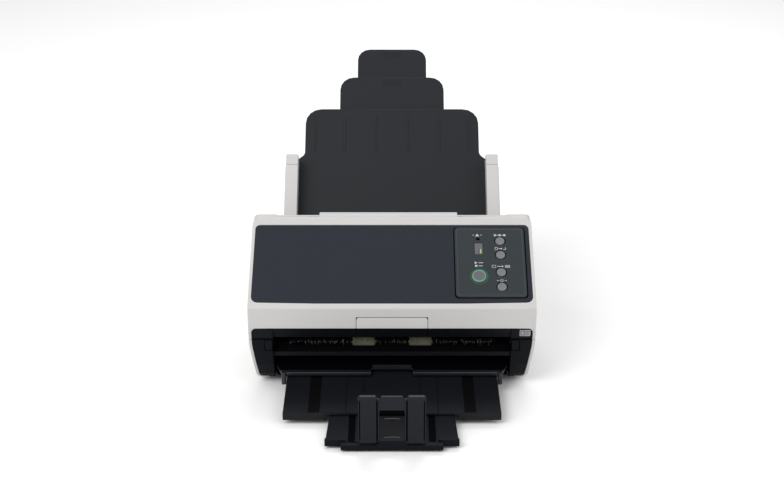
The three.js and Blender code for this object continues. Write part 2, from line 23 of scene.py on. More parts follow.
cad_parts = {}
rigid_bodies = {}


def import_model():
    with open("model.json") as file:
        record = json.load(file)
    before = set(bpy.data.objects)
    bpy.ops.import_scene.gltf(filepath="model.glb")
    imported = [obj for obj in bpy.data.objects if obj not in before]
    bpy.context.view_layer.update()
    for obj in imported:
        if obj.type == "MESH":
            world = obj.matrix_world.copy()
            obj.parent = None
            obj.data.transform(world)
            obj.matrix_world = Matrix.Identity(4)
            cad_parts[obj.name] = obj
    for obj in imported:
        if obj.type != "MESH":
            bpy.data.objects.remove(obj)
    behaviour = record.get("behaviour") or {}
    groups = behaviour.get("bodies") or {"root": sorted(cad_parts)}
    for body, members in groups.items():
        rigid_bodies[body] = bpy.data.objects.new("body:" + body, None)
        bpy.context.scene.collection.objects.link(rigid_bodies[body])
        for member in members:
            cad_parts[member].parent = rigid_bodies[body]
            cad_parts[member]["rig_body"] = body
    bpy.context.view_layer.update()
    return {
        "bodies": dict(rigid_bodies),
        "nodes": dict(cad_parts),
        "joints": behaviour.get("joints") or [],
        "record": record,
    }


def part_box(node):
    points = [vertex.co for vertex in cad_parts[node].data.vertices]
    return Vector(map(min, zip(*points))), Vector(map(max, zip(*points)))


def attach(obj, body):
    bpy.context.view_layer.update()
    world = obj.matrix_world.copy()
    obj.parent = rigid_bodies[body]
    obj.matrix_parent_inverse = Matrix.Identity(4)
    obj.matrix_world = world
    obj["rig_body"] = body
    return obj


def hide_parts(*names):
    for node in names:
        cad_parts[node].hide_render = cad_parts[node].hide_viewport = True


log = logging.getLogger("scanner")

MM = 0.001
RGB = tuple[float, float, float]
Span = tuple[float, float]


class Side(Enum):
    """The two hands of the object, seen from the front."""

    LEFT = -1
    RIGHT = 1

    @property
    def hand(self) -> str:
        """The side's word in the names of pieces."""
        return self.name.lower()

    def span(self, near: float, far: float) -> Span:
        """The stretch of X between two distances from the middle."""
        return (near, far) if self is Side.RIGHT else (-far, -near)


class Along(Enum):
    """The axis that a shape is drawn along, as a turn of its own Z axis."""

    X = Matrix(((0, 0, 1, 0), (1, 0, 0, 0), (0, 1, 0, 0), (0, 0, 0, 1)))
    Y = Matrix(((0, 1, 0, 0), (0, 0, 1, 0), (1, 0, 0, 0), (0, 0, 0, 1)))
    Z = Matrix.Identity(4)


# ---------------------------------------------------------------- shader bench
class Wire:
    """An output socket that takes part in Python arithmetic."""

    def __init__(self, bench: Bench, socket: bpy.types.NodeSocket) -> None:
        """Keeps the socket and the bench that adds nodes for it."""
        self.bench = bench
        self.socket = socket

    def __add__(self, other: Wire | float) -> Wire:
        """Sum."""
        return self.bench.maths("ADD", self, other)

    __radd__ = __add__

    def __sub__(self, other: Wire | float) -> Wire:
        """Difference."""
        return self.bench.maths("SUBTRACT", self, other)

    def __rsub__(self, other: Wire | float) -> Wire:
        """Difference, from the other side."""
        return self.bench.maths("SUBTRACT", other, self)

    def __mul__(self, other: Wire | float) -> Wire:
        """Product."""
        return self.bench.maths("MULTIPLY", self, other)

    __rmul__ = __mul__

    def __gt__(self, other: Wire | float) -> Wire:
        """1 where this value is the larger, else 0."""
        return self.bench.maths("GREATER_THAN", self, other)


class Bench:
    """The node tree of one material."""

    def __init__(self, name: str) -> None:
        """Starts an empty material.

        Args:
            name: the material's name.
        """
        self.material = bpy.data.materials.new(name)
        self.material.use_nodes = True
        self.tree = self.material.node_tree
        self.tree.nodes.clear()

    def node(self, kind: str, settings: dict[str, Any], sockets: dict[str | int, Any]) -> bpy.types.Node:
        """Adds one node.

        Args:
            kind: the node's type.
            settings: properties that are set first.
            sockets: values or wires of the node's inputs.

        Returns:
            The node.
        """
        node = self.tree.nodes.new(kind)
        for key, value in settings.items():
            setattr(node, key, value)
        for key, value in sockets.items():
            if isinstance(value, Wire):
                self.tree.links.new(value.socket, node.inputs[key])
            else:
                node.inputs[key].default_value = value
        return node

    def wire(self, kind: str, settings: dict[str, Any], sockets: dict[str | int, Any], out: int = 0) -> Wire:
        """Adds one node and returns one of its outputs."""
        return Wire(self, self.node(kind, settings, sockets).outputs[out])

    def maths(self, operation: str, first: Wire | float, second: Wire | float) -> Wire:
        """Adds a Math node."""
        return self.wire("ShaderNodeMath", {"operation": operation}, {0: first, 1: second})

    def mix(self, share: Wire | float, low: Wire | RGB, high: Wire | RGB) -> Wire:
        """Mixes two colours by a share from 0 to 1."""
        ends = {key: tone if isinstance(tone, Wire) else (*tone, 1) for key, tone in ((6, low), (7, high))}
        return self.wire("ShaderNodeMix", {"data_type": "RGBA"}, {0: share, **ends}, 2)

    def place(self, stretch: Sequence[float] = (1, 1, 1)) -> Wire:
        """Object coordinates, stretched."""
        here = self.wire("ShaderNodeTexCoord", {}, {}, 3)
        return self.wire("ShaderNodeMapping", {"vector_type": "POINT"}, {"Vector": here, "Scale": stretch})

    def noise(self, where: Wire, spacing: float, detail: float = 2) -> Wire:
        """Noise from 0 to 1 whose lumps lie some millimetres apart."""
        sockets = {"Vector": where, "Scale": 1 / (spacing * MM), "Detail": detail}
        return self.wire("ShaderNodeTexNoise", {}, sockets)

    def bump(self, height: Wire, depth: float) -> Wire:
        """A normal from a height between 0 and 1 and a depth in millimetres."""
        return self.wire("ShaderNodeBump", {}, {"Height": height, "Strength": 1.0, "Distance": depth * MM})

    def close(self, shader: bpy.types.Node) -> bpy.types.Material:
        """Links the shader to the output and returns the material."""
        self.node("ShaderNodeOutputMaterial", {}, {"Surface": Wire(self, shader.outputs[0])})
        return self.material


# ---------------------------------------------------------------- finishes
@dataclass(frozen=True)
class Moulded:
    """Moulded plastic with an eroded grain, slightly uneven in tone and gloss."""

    name: str
    slot: str
    colour: RGB
    roughness: float
    grain: float = 0.55
    depth: float = 0.012
    drift: float = 0.04
    gloss: float = 0.5

    def material(self) -> bpy.types.Material:
        """Builds the material."""
        bench = Bench(self.name)
        where = bench.place()
        broad = bench.noise(where, 70, 3)
        fine = bench.noise(where, self.grain, 2)
        handled = bench.noise(where, 14, 4)
        low, high = (tuple(c * (1 + sign * self.drift) for c in self.colour) for sign in (-1, 1))
        tone = bench.mix(broad * 0.7 + fine * 0.3, low, high)
        shine = self.roughness - 0.06 + handled * 0.08 + fine * 0.04
        return bench.close(bench.node("ShaderNodeBsdfPrincipled", {}, {
            "Base Color": tone, "Roughness": shine, "Normal": bench.bump(fine, self.depth),
            "Specular IOR Level": self.gloss}))


@dataclass(frozen=True)
class Rubber:
    """Ground rubber with fine rings and pale wear."""

    name: str
    slot: str
    colour: RGB
    worn: RGB
    roughness: float = 0.78

    def material(self) -> bpy.types.Material:
        """Builds the material."""
        bench = Bench(self.name)
        rings = bench.noise(bench.place((6, 1, 1)), 3.2, 2)
        where = bench.place()
        pits = bench.noise(where, 0.7, 3)
        patches = bench.noise(where, 6, 3)
        tone = bench.mix(patches * 0.75 + pits * 0.25, self.colour, self.worn)
        return bench.close(bench.node("ShaderNodeBsdfPrincipled", {}, {
            "Base Color": tone, "Roughness": self.roughness + pits * 0.15,
            "Normal": bench.bump(rings * 0.5 + pits * 0.5, 0.09), "Specular IOR Level": 0.35}))


@dataclass(frozen=True)
class Metal:
    """Ground or pressed metal with brush lines along X."""

    name: str
    slot: str
    colour: RGB
    roughness: float = 0.32
    stretch: float = 60

    def material(self) -> bpy.types.Material:
        """Builds the material."""
        bench = Bench(self.name)
        lines = bench.noise(bench.place((1, self.stretch, self.stretch)), 22, 2)
        stains = bench.noise(bench.place(), 9, 3)
        tone = bench.mix(lines * 0.6 + stains * 0.4, tuple(c * 0.86 for c in self.colour), self.colour)
        return bench.close(bench.node("ShaderNodeBsdfPrincipled", {}, {
            "Base Color": tone, "Metallic": 1.0, "Roughness": self.roughness + lines * 0.14,
            "Normal": bench.bump(lines, 0.01)}))


@dataclass(frozen=True)
class Polished:
    """Glass, lens or lacquer with a smooth coat and a few faint smears."""

    name: str
    slot: str
    colour: RGB
    roughness: float = 0.12
    glow: RGB = (0, 0, 0)
    light: float = 0.0

    def material(self) -> bpy.types.Material:
        """Builds the material."""
        bench = Bench(self.name)
        smears = bench.noise(bench.place((1, 2.5, 2.5)), 11, 3)
        tone = bench.mix(smears, tuple(c * 0.93 for c in self.colour), tuple(c * 1.07 for c in self.colour))
        return bench.close(bench.node("ShaderNodeBsdfPrincipled", {}, {
            "Base Color": tone, "Roughness": self.roughness + smears * 0.08, "Coat Weight": 0.4,
            "Coat Roughness": 0.05, "Emission Color": (*self.glow, 1), "Emission Strength": self.light}))


@dataclass(frozen=True)
class SolderMask:
    """Green board lacquer over copper tracks."""

    name: str
    slot: str
    colour: RGB
    track: RGB

    def material(self) -> bpy.types.Material:
        """Builds the material."""
        bench = Bench(self.name)
        cells = bench.wire("ShaderNodeTexVoronoi", {"distance": "MANHATTAN", "feature": "F1"},
                           {"Vector": bench.place(), "Scale": 1 / (4.5 * MM)})
        tracks = cells > 0.62
        grain = bench.noise(bench.place(), 0.8, 2)
        return bench.close(bench.node("ShaderNodeBsdfPrincipled", {}, {
            "Base Color": bench.mix(tracks, self.colour, self.track), "Roughness": 0.3 + grain * 0.12,
            "Normal": bench.bump(tracks, 0.03)}))


Finish = Moulded | Rubber | Metal | Polished | SolderMask

WHITE = Moulded("white_moulding", "white_shell", (0.515, 0.506, 0.496), 0.5, gloss=0.35)
GUIDE_WHITE = Moulded("guide_moulding", "white_shell", (0.525, 0.515, 0.505), 0.45, gloss=0.3)
TAB_WHITE = Moulded("tab_moulding", "white_shell", (0.555, 0.545, 0.535), 0.48, gloss=0.35)
DARK = Moulded("dark_moulding", "dark_shell", (0.0058, 0.0068, 0.009), 0.45, gloss=0.17)
EXTENSION_DARK = Moulded("extension_moulding", "dark_shell", (0.0048, 0.0062, 0.009), 0.5, gloss=0.06)
# The two cheek finishes are lit and shaded copies of one plastic: the left one's lighter colour is painted
# light, the right one's darker colour is painted shade.
CHEEK_PAINTED_LIT = Moulded("cheek_moulding", "dark_shell", (0.0058, 0.0076, 0.0092), 0.5, gloss=0.045)
CHEEK_PAINTED_SHADE = Moulded("cheek_moulding_lee", "dark_shell", (0.0055, 0.0066, 0.0085), 0.5, gloss=0.06)
SCOOP_DARK = Moulded("scoop_moulding", "dark_shell", (0.008, 0.009, 0.0125), 0.32, gloss=0.6)
CHUTE_DARK = Moulded("chute_moulding", "dark_shell", (0.014, 0.016, 0.019), 0.5, gloss=0.2)
# Near black for the black guide parts, also used as painted shade and painted reflection on the scoop's ramp
# and in the extension's slots.
GUIDE_BLACK_AND_SHADE = Moulded("guide_black", "dark_shell", (0.0012, 0.0011, 0.0018), 0.5, gloss=0.01)
GUIDE_SHADE = Moulded("guide_seam_shade", "white_shell", (0.2, 0.2, 0.2), 0.6, gloss=0.1)
# Light grey for the two thin raised bars on the outer extension: a painted highlight on their ridges.
RIDGE_HIGHLIGHT_GREY = Moulded("pull_mark_grey", "button_grey", (0.13, 0.135, 0.14), 0.45, grain=0.2, depth=0.001)
STOPPER_DARK = Moulded("stopper_moulding", "dark_shell", (0.0082, 0.0095, 0.0138), 0.4, gloss=0.17)
BAND_DARK = Moulded("band_moulding", "dark_shell", (0.004, 0.0042, 0.0055), 0.55, gloss=0.12)
PANEL = Moulded("front_panel_satin", "front_panel", (0.0205, 0.0245, 0.0315), 0.42, 0.4, 0.006, gloss=0.13)
OPERATOR = Moulded("operator_sheet", "operator_panel", (0.03, 0.037, 0.041), 0.4, 0.3, 0.004, gloss=0.15)
BLACK = Moulded("black_moulding", "black_plastic", (0.0028, 0.0024, 0.003), 0.6, gloss=0.05)
# Near black for dark seams and the check lamp, also used as painted shade in gaps, wells, slots, holes and
# notches.
SEAM_AND_SHADE = Moulded("seam_shadow", "black_plastic", (0.001, 0.001, 0.0015), 0.7, gloss=0.02)
# Lighter grey for the line on the sheet's rim: a painted highlight.
EDGE_HIGHLIGHT_GREY = Moulded("sheet_edge", "operator_panel", (0.058, 0.068, 0.075), 0.4, gloss=0.3)
SCAN_GREY = Moulded("scan_key_grey", "button_grey", (0.105, 0.107, 0.12), 0.42, grain=0.3, depth=0.006)
KEY_GREY = Moulded("key_grey", "button_grey", (0.145, 0.152, 0.165), 0.42, grain=0.3, depth=0.006)
PRINT = Moulded("printed_ink", "white_shell", (0.43, 0.45, 0.47), 0.5, grain=0.2, depth=0.001)
DARK_PRINT = Moulded("dark_ink", "dark_shell", (0.02, 0.022, 0.025), 0.5, grain=0.2, depth=0.001)
LABEL = Moulded("label_film", "button_grey", (0.3, 0.3, 0.31), 0.35, grain=1.2, depth=0.004)
NYLON = Moulded("natural_nylon", "nylon", (0.66, 0.65, 0.58), 0.4, grain=1.1, depth=0.01)
TYRE = Rubber("ground_tyre", "roller_rubber", (0.075, 0.074, 0.048), (0.19, 0.187, 0.13))
FOOT = Rubber("foot_rubber_black", "foot_rubber", (0.008, 0.008, 0.008), (0.02, 0.02, 0.02), 0.7)
BELT = Rubber("belt_rubber", "foot_rubber", (0.01, 0.01, 0.01), (0.03, 0.03, 0.03), 0.65)
STEEL = Metal("ground_steel", "steel", (0.5, 0.51, 0.52))
PLATE = Metal("pressed_plate", "steel", (0.42, 0.43, 0.44), 0.4, 12)
BRASS = Metal("contact_brass", "steel", (0.62, 0.47, 0.2), 0.3, 30)
FIBRE = Metal("antistatic_fibre", "brush_fibre", (0.22, 0.21, 0.165), 0.5, 4)
GLASS = Polished("scan_glass", "glass", (0.03, 0.035, 0.04))
LENS = Polished("display_lens", "glass", (0.1, 0.103, 0.115), 0.3)
DIGIT_LIT = Polished("digit_lit", "glass", (0.4, 0.5, 0.06), 0.3, (0.5, 0.62, 0.08), 0.55)
DIGIT_DIM = Polished("digit_dim", "glass", (0.075, 0.08, 0.07), 0.3)
RING = Polished("ring_green", "glass", (0.003, 0.06, 0.024), 0.4, (0.004, 0.1, 0.036), 0.06)
HALO = Polished("halo_green", "glass", (0.13, 0.25, 0.18), 0.3)
BOARD = SolderMask("board_lacquer", "circuit_board", (0.008, 0.07, 0.025), (0.02, 0.13, 0.05))


# ---------------------------------------------------------------- solids
class Solid:
    """A shape under construction, in the millimetres of some working plane."""

    crease = 30.0  # degrees past which an edge is rounded

    def __init__(self) -> None:
        """Starts with nothing."""
        self.mesh: BMesh = bmesh.new()

    def box(self, x: Span, y: Span, z: Span) -> Solid:
        """Adds a box between the given spans."""
        spans = (x, y, z)
        size = Matrix.Diagonal((*(high - low for low, high in spans), 1))
        middle = Matrix.Translation([(low + high) / 2 for low, high in spans])
        bmesh.ops.create_cube(self.mesh, size=1, matrix=middle @ size)
        return self

    def rod(self, radius: float, span: Span, axis: Along, at: Sequence[float], sides: int = 32,
            tip: float | None = None) -> Solid:
        """Adds a round bar or a cone.

        Args:
            radius: radius at the low end of the span.
            span: both ends along the axis.
            axis: the axis that it lies along.
            at: where the axis passes, the coordinate along it being ignored.
            sides: number of sides.
            tip: radius at the high end, the same as the low one if left out.

        Returns:
            The solid itself.
        """
        along = axis.value.to_3x3() @ Vector((0, 0, 1))
        middle = Vector(at) - along * Vector(at).dot(along) + along * (sum(span) / 2)
        bmesh.ops.create_cone(self.mesh, cap_ends=True, segments=sides, radius1=radius,
                              radius2=radius if tip is None else tip, depth=span[1] - span[0],
                              matrix=Matrix.Translation(middle) @ axis.value)
        return self

    def slab(self, corners: Iterable[Sequence[float]], span: Span, axis: Along = Along.Z,
             edge: float = 0.0) -> Solid:
        """Adds a plate from its outline.

        Args:
            corners: (u, v) or (u, v, radius) corners, anticlockwise seen against the axis.
            span: both ends along the axis.
            axis: the axis that the plate is thick along; u and v follow it as Y, Z, X do X, Y, Z.
            edge: bevel of the rim at the high end.

        Returns:
            The solid itself.
        """
        part = bmesh.new()
        points = [(corner[0], corner[1], corner[2] if len(corner) > 2 else 0.0) for corner in corners]
        face = part.faces.new([part.verts.new((u, v, span[0])) for u, v, _ in points])
        radii = {vert: radius for vert, (_, _, radius) in zip(face.verts, points)}
        for vert, radius in radii.items():
            if radius:
                bmesh.ops.bevel(part, geom=[vert], offset=radius, offset_type="OFFSET", affect="VERTICES",
                                segments=6, profile=0.5, material=-1)
        part.faces.ensure_lookup_table()
        top = bmesh.ops.extrude_face_region(part, geom=part.faces[:])["geom"]
        lifted = [item for item in top if isinstance(item, BMVert)]
        bmesh.ops.translate(part, verts=lifted, vec=(0, 0, span[1] - span[0]))
        bmesh.ops.recalc_face_normals(part, faces=part.faces[:])
        if edge:
            rim = [one for one in part.edges if all(vert in set(lifted) for vert in one.verts)]
            bmesh.ops.bevel(part, geom=rim, offset=edge, affect="EDGES", segments=2, profile=0.5,
                            material=-1, clamp_overlap=True)
        part.transform(axis.value)
        return self.take(part)

    def plate(self, u: Span, v: Span, span: Span, radius: float, axis: Along = Along.Z,
              edge: float = 0.0) -> Solid:
        """Adds a slab with an oblong outline whose four corners are round."""
        corners = [(u[0], v[0], radius), (u[1], v[0], radius), (u[1], v[1], radius), (u[0], v[1], radius)]
        return self.slab(corners, span, axis, edge)

    def revolve(self, profile: Iterable[Span], at: Sequence[float], axis: Along = Along.Z,
                steps: int = 48) -> Solid:
        """Adds a turned shape from a closed (radius, height) profile about an axis through a point."""
        part = bmesh.new()
        ring = [part.verts.new((radius, 0, height)) for radius, height in profile]
        rim = [part.edges.new(pair) for pair in zip(ring, ring[1:] + ring[:1])]
        bmesh.ops.spin(part, geom=ring + rim, cent=(0, 0, 0), axis=(0, 0, 1), angle=math.tau, steps=steps,
                       use_merge=True)
        bmesh.ops.remove_doubles(part, verts=part.verts[:], dist=1e-4)
        bmesh.ops.recalc_face_normals(part, faces=part.faces[:])
        part.transform(Matrix.Translation(Vector(at)) @ axis.value)
        return self.take(part)

    def take(self, part: BMesh) -> Solid:
        """Moves a loose part into this solid."""
        loose = bpy.data.meshes.new("loose")
        part.to_mesh(loose)
        part.free()
        self.mesh.from_mesh(loose)
        bpy.data.meshes.remove(loose)
        return self

    def copy_of(self, source: bpy.types.Mesh) -> Solid:
        """Takes a frame mesh, joins its triangles and merges those that lie flat together."""
        self.mesh.from_mesh(source)
        bmesh.ops.scale(self.mesh, vec=(1 / MM,) * 3, verts=self.mesh.verts[:])
        bmesh.ops.remove_doubles(self.mesh, verts=self.mesh.verts[:], dist=2e-3)
        bmesh.ops.dissolve_degenerate(self.mesh, edges=self.mesh.edges[:], dist=1e-3)
        bmesh.ops.dissolve_limit(self.mesh, angle_limit=math.radians(0.6), verts=self.mesh.verts[:],
                                 edges=self.mesh.edges[:])
        return self

    def soften(self, width: float, segments: int = 2) -> Solid:
        """Bevels every edge that turns by more than the crease."""
        limit = math.radians(self.crease)
        rims = [edge for edge in self.mesh.edges if edge.is_manifold and edge.calc_face_angle() > limit]
        bmesh.ops.bevel(self.mesh, geom=rims, offset=width, offset_type="OFFSET", affect="EDGES",
                        segments=segments, profile=0.5, material=-1, clamp_overlap=False)
        return self

    def moved(self, matrix: Matrix) -> Solid:
        """Transforms everything drawn so far."""
        self.mesh.transform(matrix)
        return self

    def publish(self, name: str, place: Matrix, sharp: float = 32) -> bpy.types.Object:
        """Makes the object, with its place in its mesh.

        Args:
            name: the object's name.
            place: the working plane's matrix, from its millimetres to the row's metres.
            sharp: degrees past which an edge stays sharp in the shading.

        Returns:
            The object.
        """
        self.mesh.transform(place)
        limit = math.radians(sharp)
        for face in self.mesh.faces:
            face.smooth = True
        for edge in self.mesh.edges:
            edge.smooth = edge.is_manifold and edge.calc_face_angle() < limit
        data = bpy.data.meshes.new(name)
        self.mesh.to_mesh(data)
        self.mesh.free()
        made = bpy.data.objects.new(name, data)
        bpy.context.scene.collection.objects.link(made)
        return made


# ---------------------------------------------------------------- workshop
class Workshop:
    """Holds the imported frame, the working planes and the finishes in use."""

    def __init__(self, frame: dict[str, Any]) -> None:
        """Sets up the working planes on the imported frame.
        """
        self.nodes: dict[str, bpy.types.Object] = frame["nodes"]
        self.paints: dict[str, bpy.types.Material] = {}
        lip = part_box("cover_shell")[0].y / MM
        self.row = Matrix.Scale(MM, 4)
        self.desk = self._plane(0, lip, 0)
        self.panel = self._plane(34.5, lip + 4.6, 100.5)
        self.path = self._plane(24, lip + 20, 54.6)
        self.chute = self._plane(46, lip + 150, 147)
        self.stacker = self._plane(3.5, lip - 72, 12.3)
        self.band_end = self._plane(103.4, lip + 2.5, 67.9)

    def _plane(self, slope: float, y: float, z: float) -> Matrix:
        """A plane at a slope in degrees whose foot is at y and z."""
        return self.row @ Matrix.Translation((0, y, z)) @ Matrix.Rotation(math.radians(slope), 4, "X")

    def paint(self, finish: Finish) -> bpy.types.Material:
        """The material of a finish, built once."""
        if finish.name not in self.paints:
            self.paints[finish.name] = finish.material()
        return self.paints[finish.name]

    def carry(self, finish: Finish, *nodes: str) -> None:
        """Keeps frame nodes as they are and gives them a finish."""
        for name in nodes:
            node = self.nodes[name]
            node.data.materials.clear()
            node.data.materials.append(self.paint(finish))
            log.info("carried %s as %s", name, finish.name)

    def place(self, solid: Solid, name: str, body: str, finish: Finish, plane: Matrix, *stands_for: str,
              sharp: float = 32) -> bpy.types.Object:
        """Publishes a solid as a piece of the object.

        Args:
            solid: the shape.
            name: the piece's name.
            body: the body that it rides on.
            finish: its finish.
            plane: its working plane.
            stands_for: frame nodes that it replaces.
            sharp: degrees past which its edges stay sharp.

        Returns:
            The object.
        """
        piece = solid.publish(name, plane, sharp)
        piece.data.materials.append(self.paint(finish))
        even = piece.modifiers.new("even_faces", "WEIGHTED_NORMAL")
        even.keep_sharp = True
        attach(piece, body)
        if stands_for:
            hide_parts(*stands_for)
        log.info("placed %s on %s", name, body)
        return piece

    def recast(self, node: str, finish: Finish, edge: float, segments: int = 2) -> bpy.types.Object:
        """Replaces a frame node by a copy of itself with rounded edges.

        Args:
            node: the frame node.
            finish: the finish of the copy.
            edge: width of the rounding.
            segments: steps across the rounding.

        Returns:
            The copy.
        """
        source = self.nodes[node]
        solid = Solid().copy_of(source.data).soften(edge, segments)
        return self.place(solid, f"{node}_moulding", source["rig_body"], finish, self.row, node)

    def second_finish(self, piece: bpy.types.Object, finish: Finish,
                      chosen: Callable[[bpy.types.MeshPolygon], bool]) -> None:
        """Gives some of a piece's faces another finish.

        Args:
            piece: the piece.
            finish: the other finish.
            chosen: tells whether a face takes it.
        """
        piece.data.materials.append(self.paint(finish))
        for face in piece.data.polygons:
            if chosen(face):
                face.material_index = 1


# ---------------------------------------------------------------- cover
@dataclass
class Cover:
    """The white lid with its dark panel, release tab, inner frame, label and antistatic brush."""

    shop: Workshop
    edge: float = 0.5
    tab_half: float = 37.4
    fibre_count: int = 260
    fibre_half: float = 106.0
    fibre_root: float = 58.4
    seed: int = 11
    lip_edge: float = 74.3
    lip_side: float = 146.9
    lip_round: float = 5.5
    brush_spans: tuple[Span, ...] = ((-108, -41.2), (-18.6, 18.6), (41.2, 108))

    def build(self) -> None:
        """Makes every piece of the lid."""
        shop = self.shop
        shop.recast("cover_shell", WHITE, self.edge)
        shop.recast("front_panel", PANEL, 0.35)
        shop.recast("release_tab", TAB_WHITE, self.edge)
        shop.recast("cover_inner_frame", BAND_DARK, 0.4)
        shop.recast("upper_scan_unit", BLACK, 0.3)
        shop.carry(GLASS, "upper_scan_glass")
        shop.carry(STEEL, "hinge_pin_left", "hinge_pin_right")
        self.band_seams()
        self.brush_holder()
        self.fibres()
        self.sticker()
        self.reference_strip()
        self.lip_corners()

    def band_seams(self) -> None:
        """Carries the tab's outline on down the dark band as two thin seams."""
        seams = Solid()
        for side in Side:
            seams.slab([(1.15, 73.3), (7.9, 60.7), (8.4, 60.9), (1.6, 73.4)],
                       side.span(self.tab_half - 0.25, self.tab_half + 0.25), Along.X)
        self.shop.place(seams, "band_seams", "cover", SEAM_AND_SHADE, self.shop.desk)

    def lip_corners(self) -> None:
        """Rounds the corner between the lip's lower edge and each side of the cover."""
        radius, steps = self.lip_round, 10
        low, near = self.lip_edge - radius, self.lip_side - radius
        turns = [math.tau / 4 * step / steps for step in range(steps + 1)]
        arc = [(low + radius * math.sin(turn), near + radius * math.cos(turn)) for turn in turns]
        for side in Side:
            shape = [(z, side.value * x) for z, x in [(self.lip_edge, self.lip_side), *arc]]
            gusset = Solid().slab(shape if side is Side.RIGHT else shape[::-1], (0.25, 3.0), Along.Y)
            self.shop.place(gusset, f"lip_corner_{side.hand}", "cover", WHITE, self.shop.desk)

    def brush_holder(self) -> None:
        """Clips the brush's folded strip between the eject idlers."""
        strip = Solid()
        for span in self.brush_spans:
            strip.box(span, (9.8, 11), (55.2, self.fibre_root)).box(span, (9.2, 11.6), (57.4, 58.7))
        self.shop.place(strip.soften(0.15), "brush_holder", "cover", GUIDE_BLACK_AND_SHADE, self.shop.desk,
                        "antistatic_brush")

    def fibres(self) -> None:
        """Hangs the brush's fine fibres, each a slim leaning cone."""
        draw = random.Random(self.seed)
        tuft = Solid()
        for number in range(self.fibre_count):
            x = -self.fibre_half + 2 * self.fibre_half * (number + draw.random()) / self.fibre_count
            length = draw.uniform(3.8, 8.2)
            aside = Matrix.Rotation(draw.gauss(0, 0.34), 4, "Y")
            lean = aside @ Matrix.Rotation(draw.gauss(0.1, 0.22), 4, "X")
            root = Matrix.Translation((x, 10.4 + draw.uniform(-0.5, 0.5), self.fibre_root))
            hang = Matrix.Translation((0, 0, -length / 2))
            bmesh.ops.create_cone(tuft.mesh, cap_ends=True, segments=3, radius1=0.04, radius2=0.16,
                                  depth=length, matrix=root @ lean @ hang)
        self.shop.place(tuft, "antistatic_fibres", "cover", FIBRE, self.shop.desk)

    def sticker(self) -> None:
        """Sticks a small plain care label with a pictogram on the band's right end."""
        centre, half, tall = 139.0, 5.7, 4.0
        film = Solid().plate((centre - half, centre + half), (-tall, tall), (0.0, 0.14), 0.8, edge=0.05)
        self.shop.place(film, "care_label", "cover", LABEL, self.shop.band_end)
        ink = Solid()
        sheet = ((-4.6, -0.4, -2.9, -2.2), (-4.6, -0.4, 2.2, 2.9),
                 (-4.6, -3.9, -2.9, 2.9), (-1.1, -0.4, -2.9, 2.9))
        lines = ((0.6, 4.6, 1.6, 2.3), (0.6, 3.6, -0.2, 0.5), (0.6, 4.6, -2.0, -1.3))
        for low, high, foot, top in sheet + lines:
            ink.box((centre + low, centre + high), (foot, top), (0.14, 0.17))
        self.shop.place(ink, "care_label_mark", "cover", DARK_PRINT, self.shop.band_end)

    def reference_strip(self) -> None:
        """Lays the white reference strip behind the upper glass."""
        strip = Solid().box((-106, 106), (26.4, 29.6), (7.4, 8.2))
        self.shop.place(strip, "upper_reference_strip", "cover", PRINT, self.shop.path)


# ---------------------------------------------------------------- operator panel
@dataclass(frozen=True)
class Key:
    """A round key: its body, its place on the panel and its size."""

    node: str
    body: str
    x: float
    s: float
    radius: float


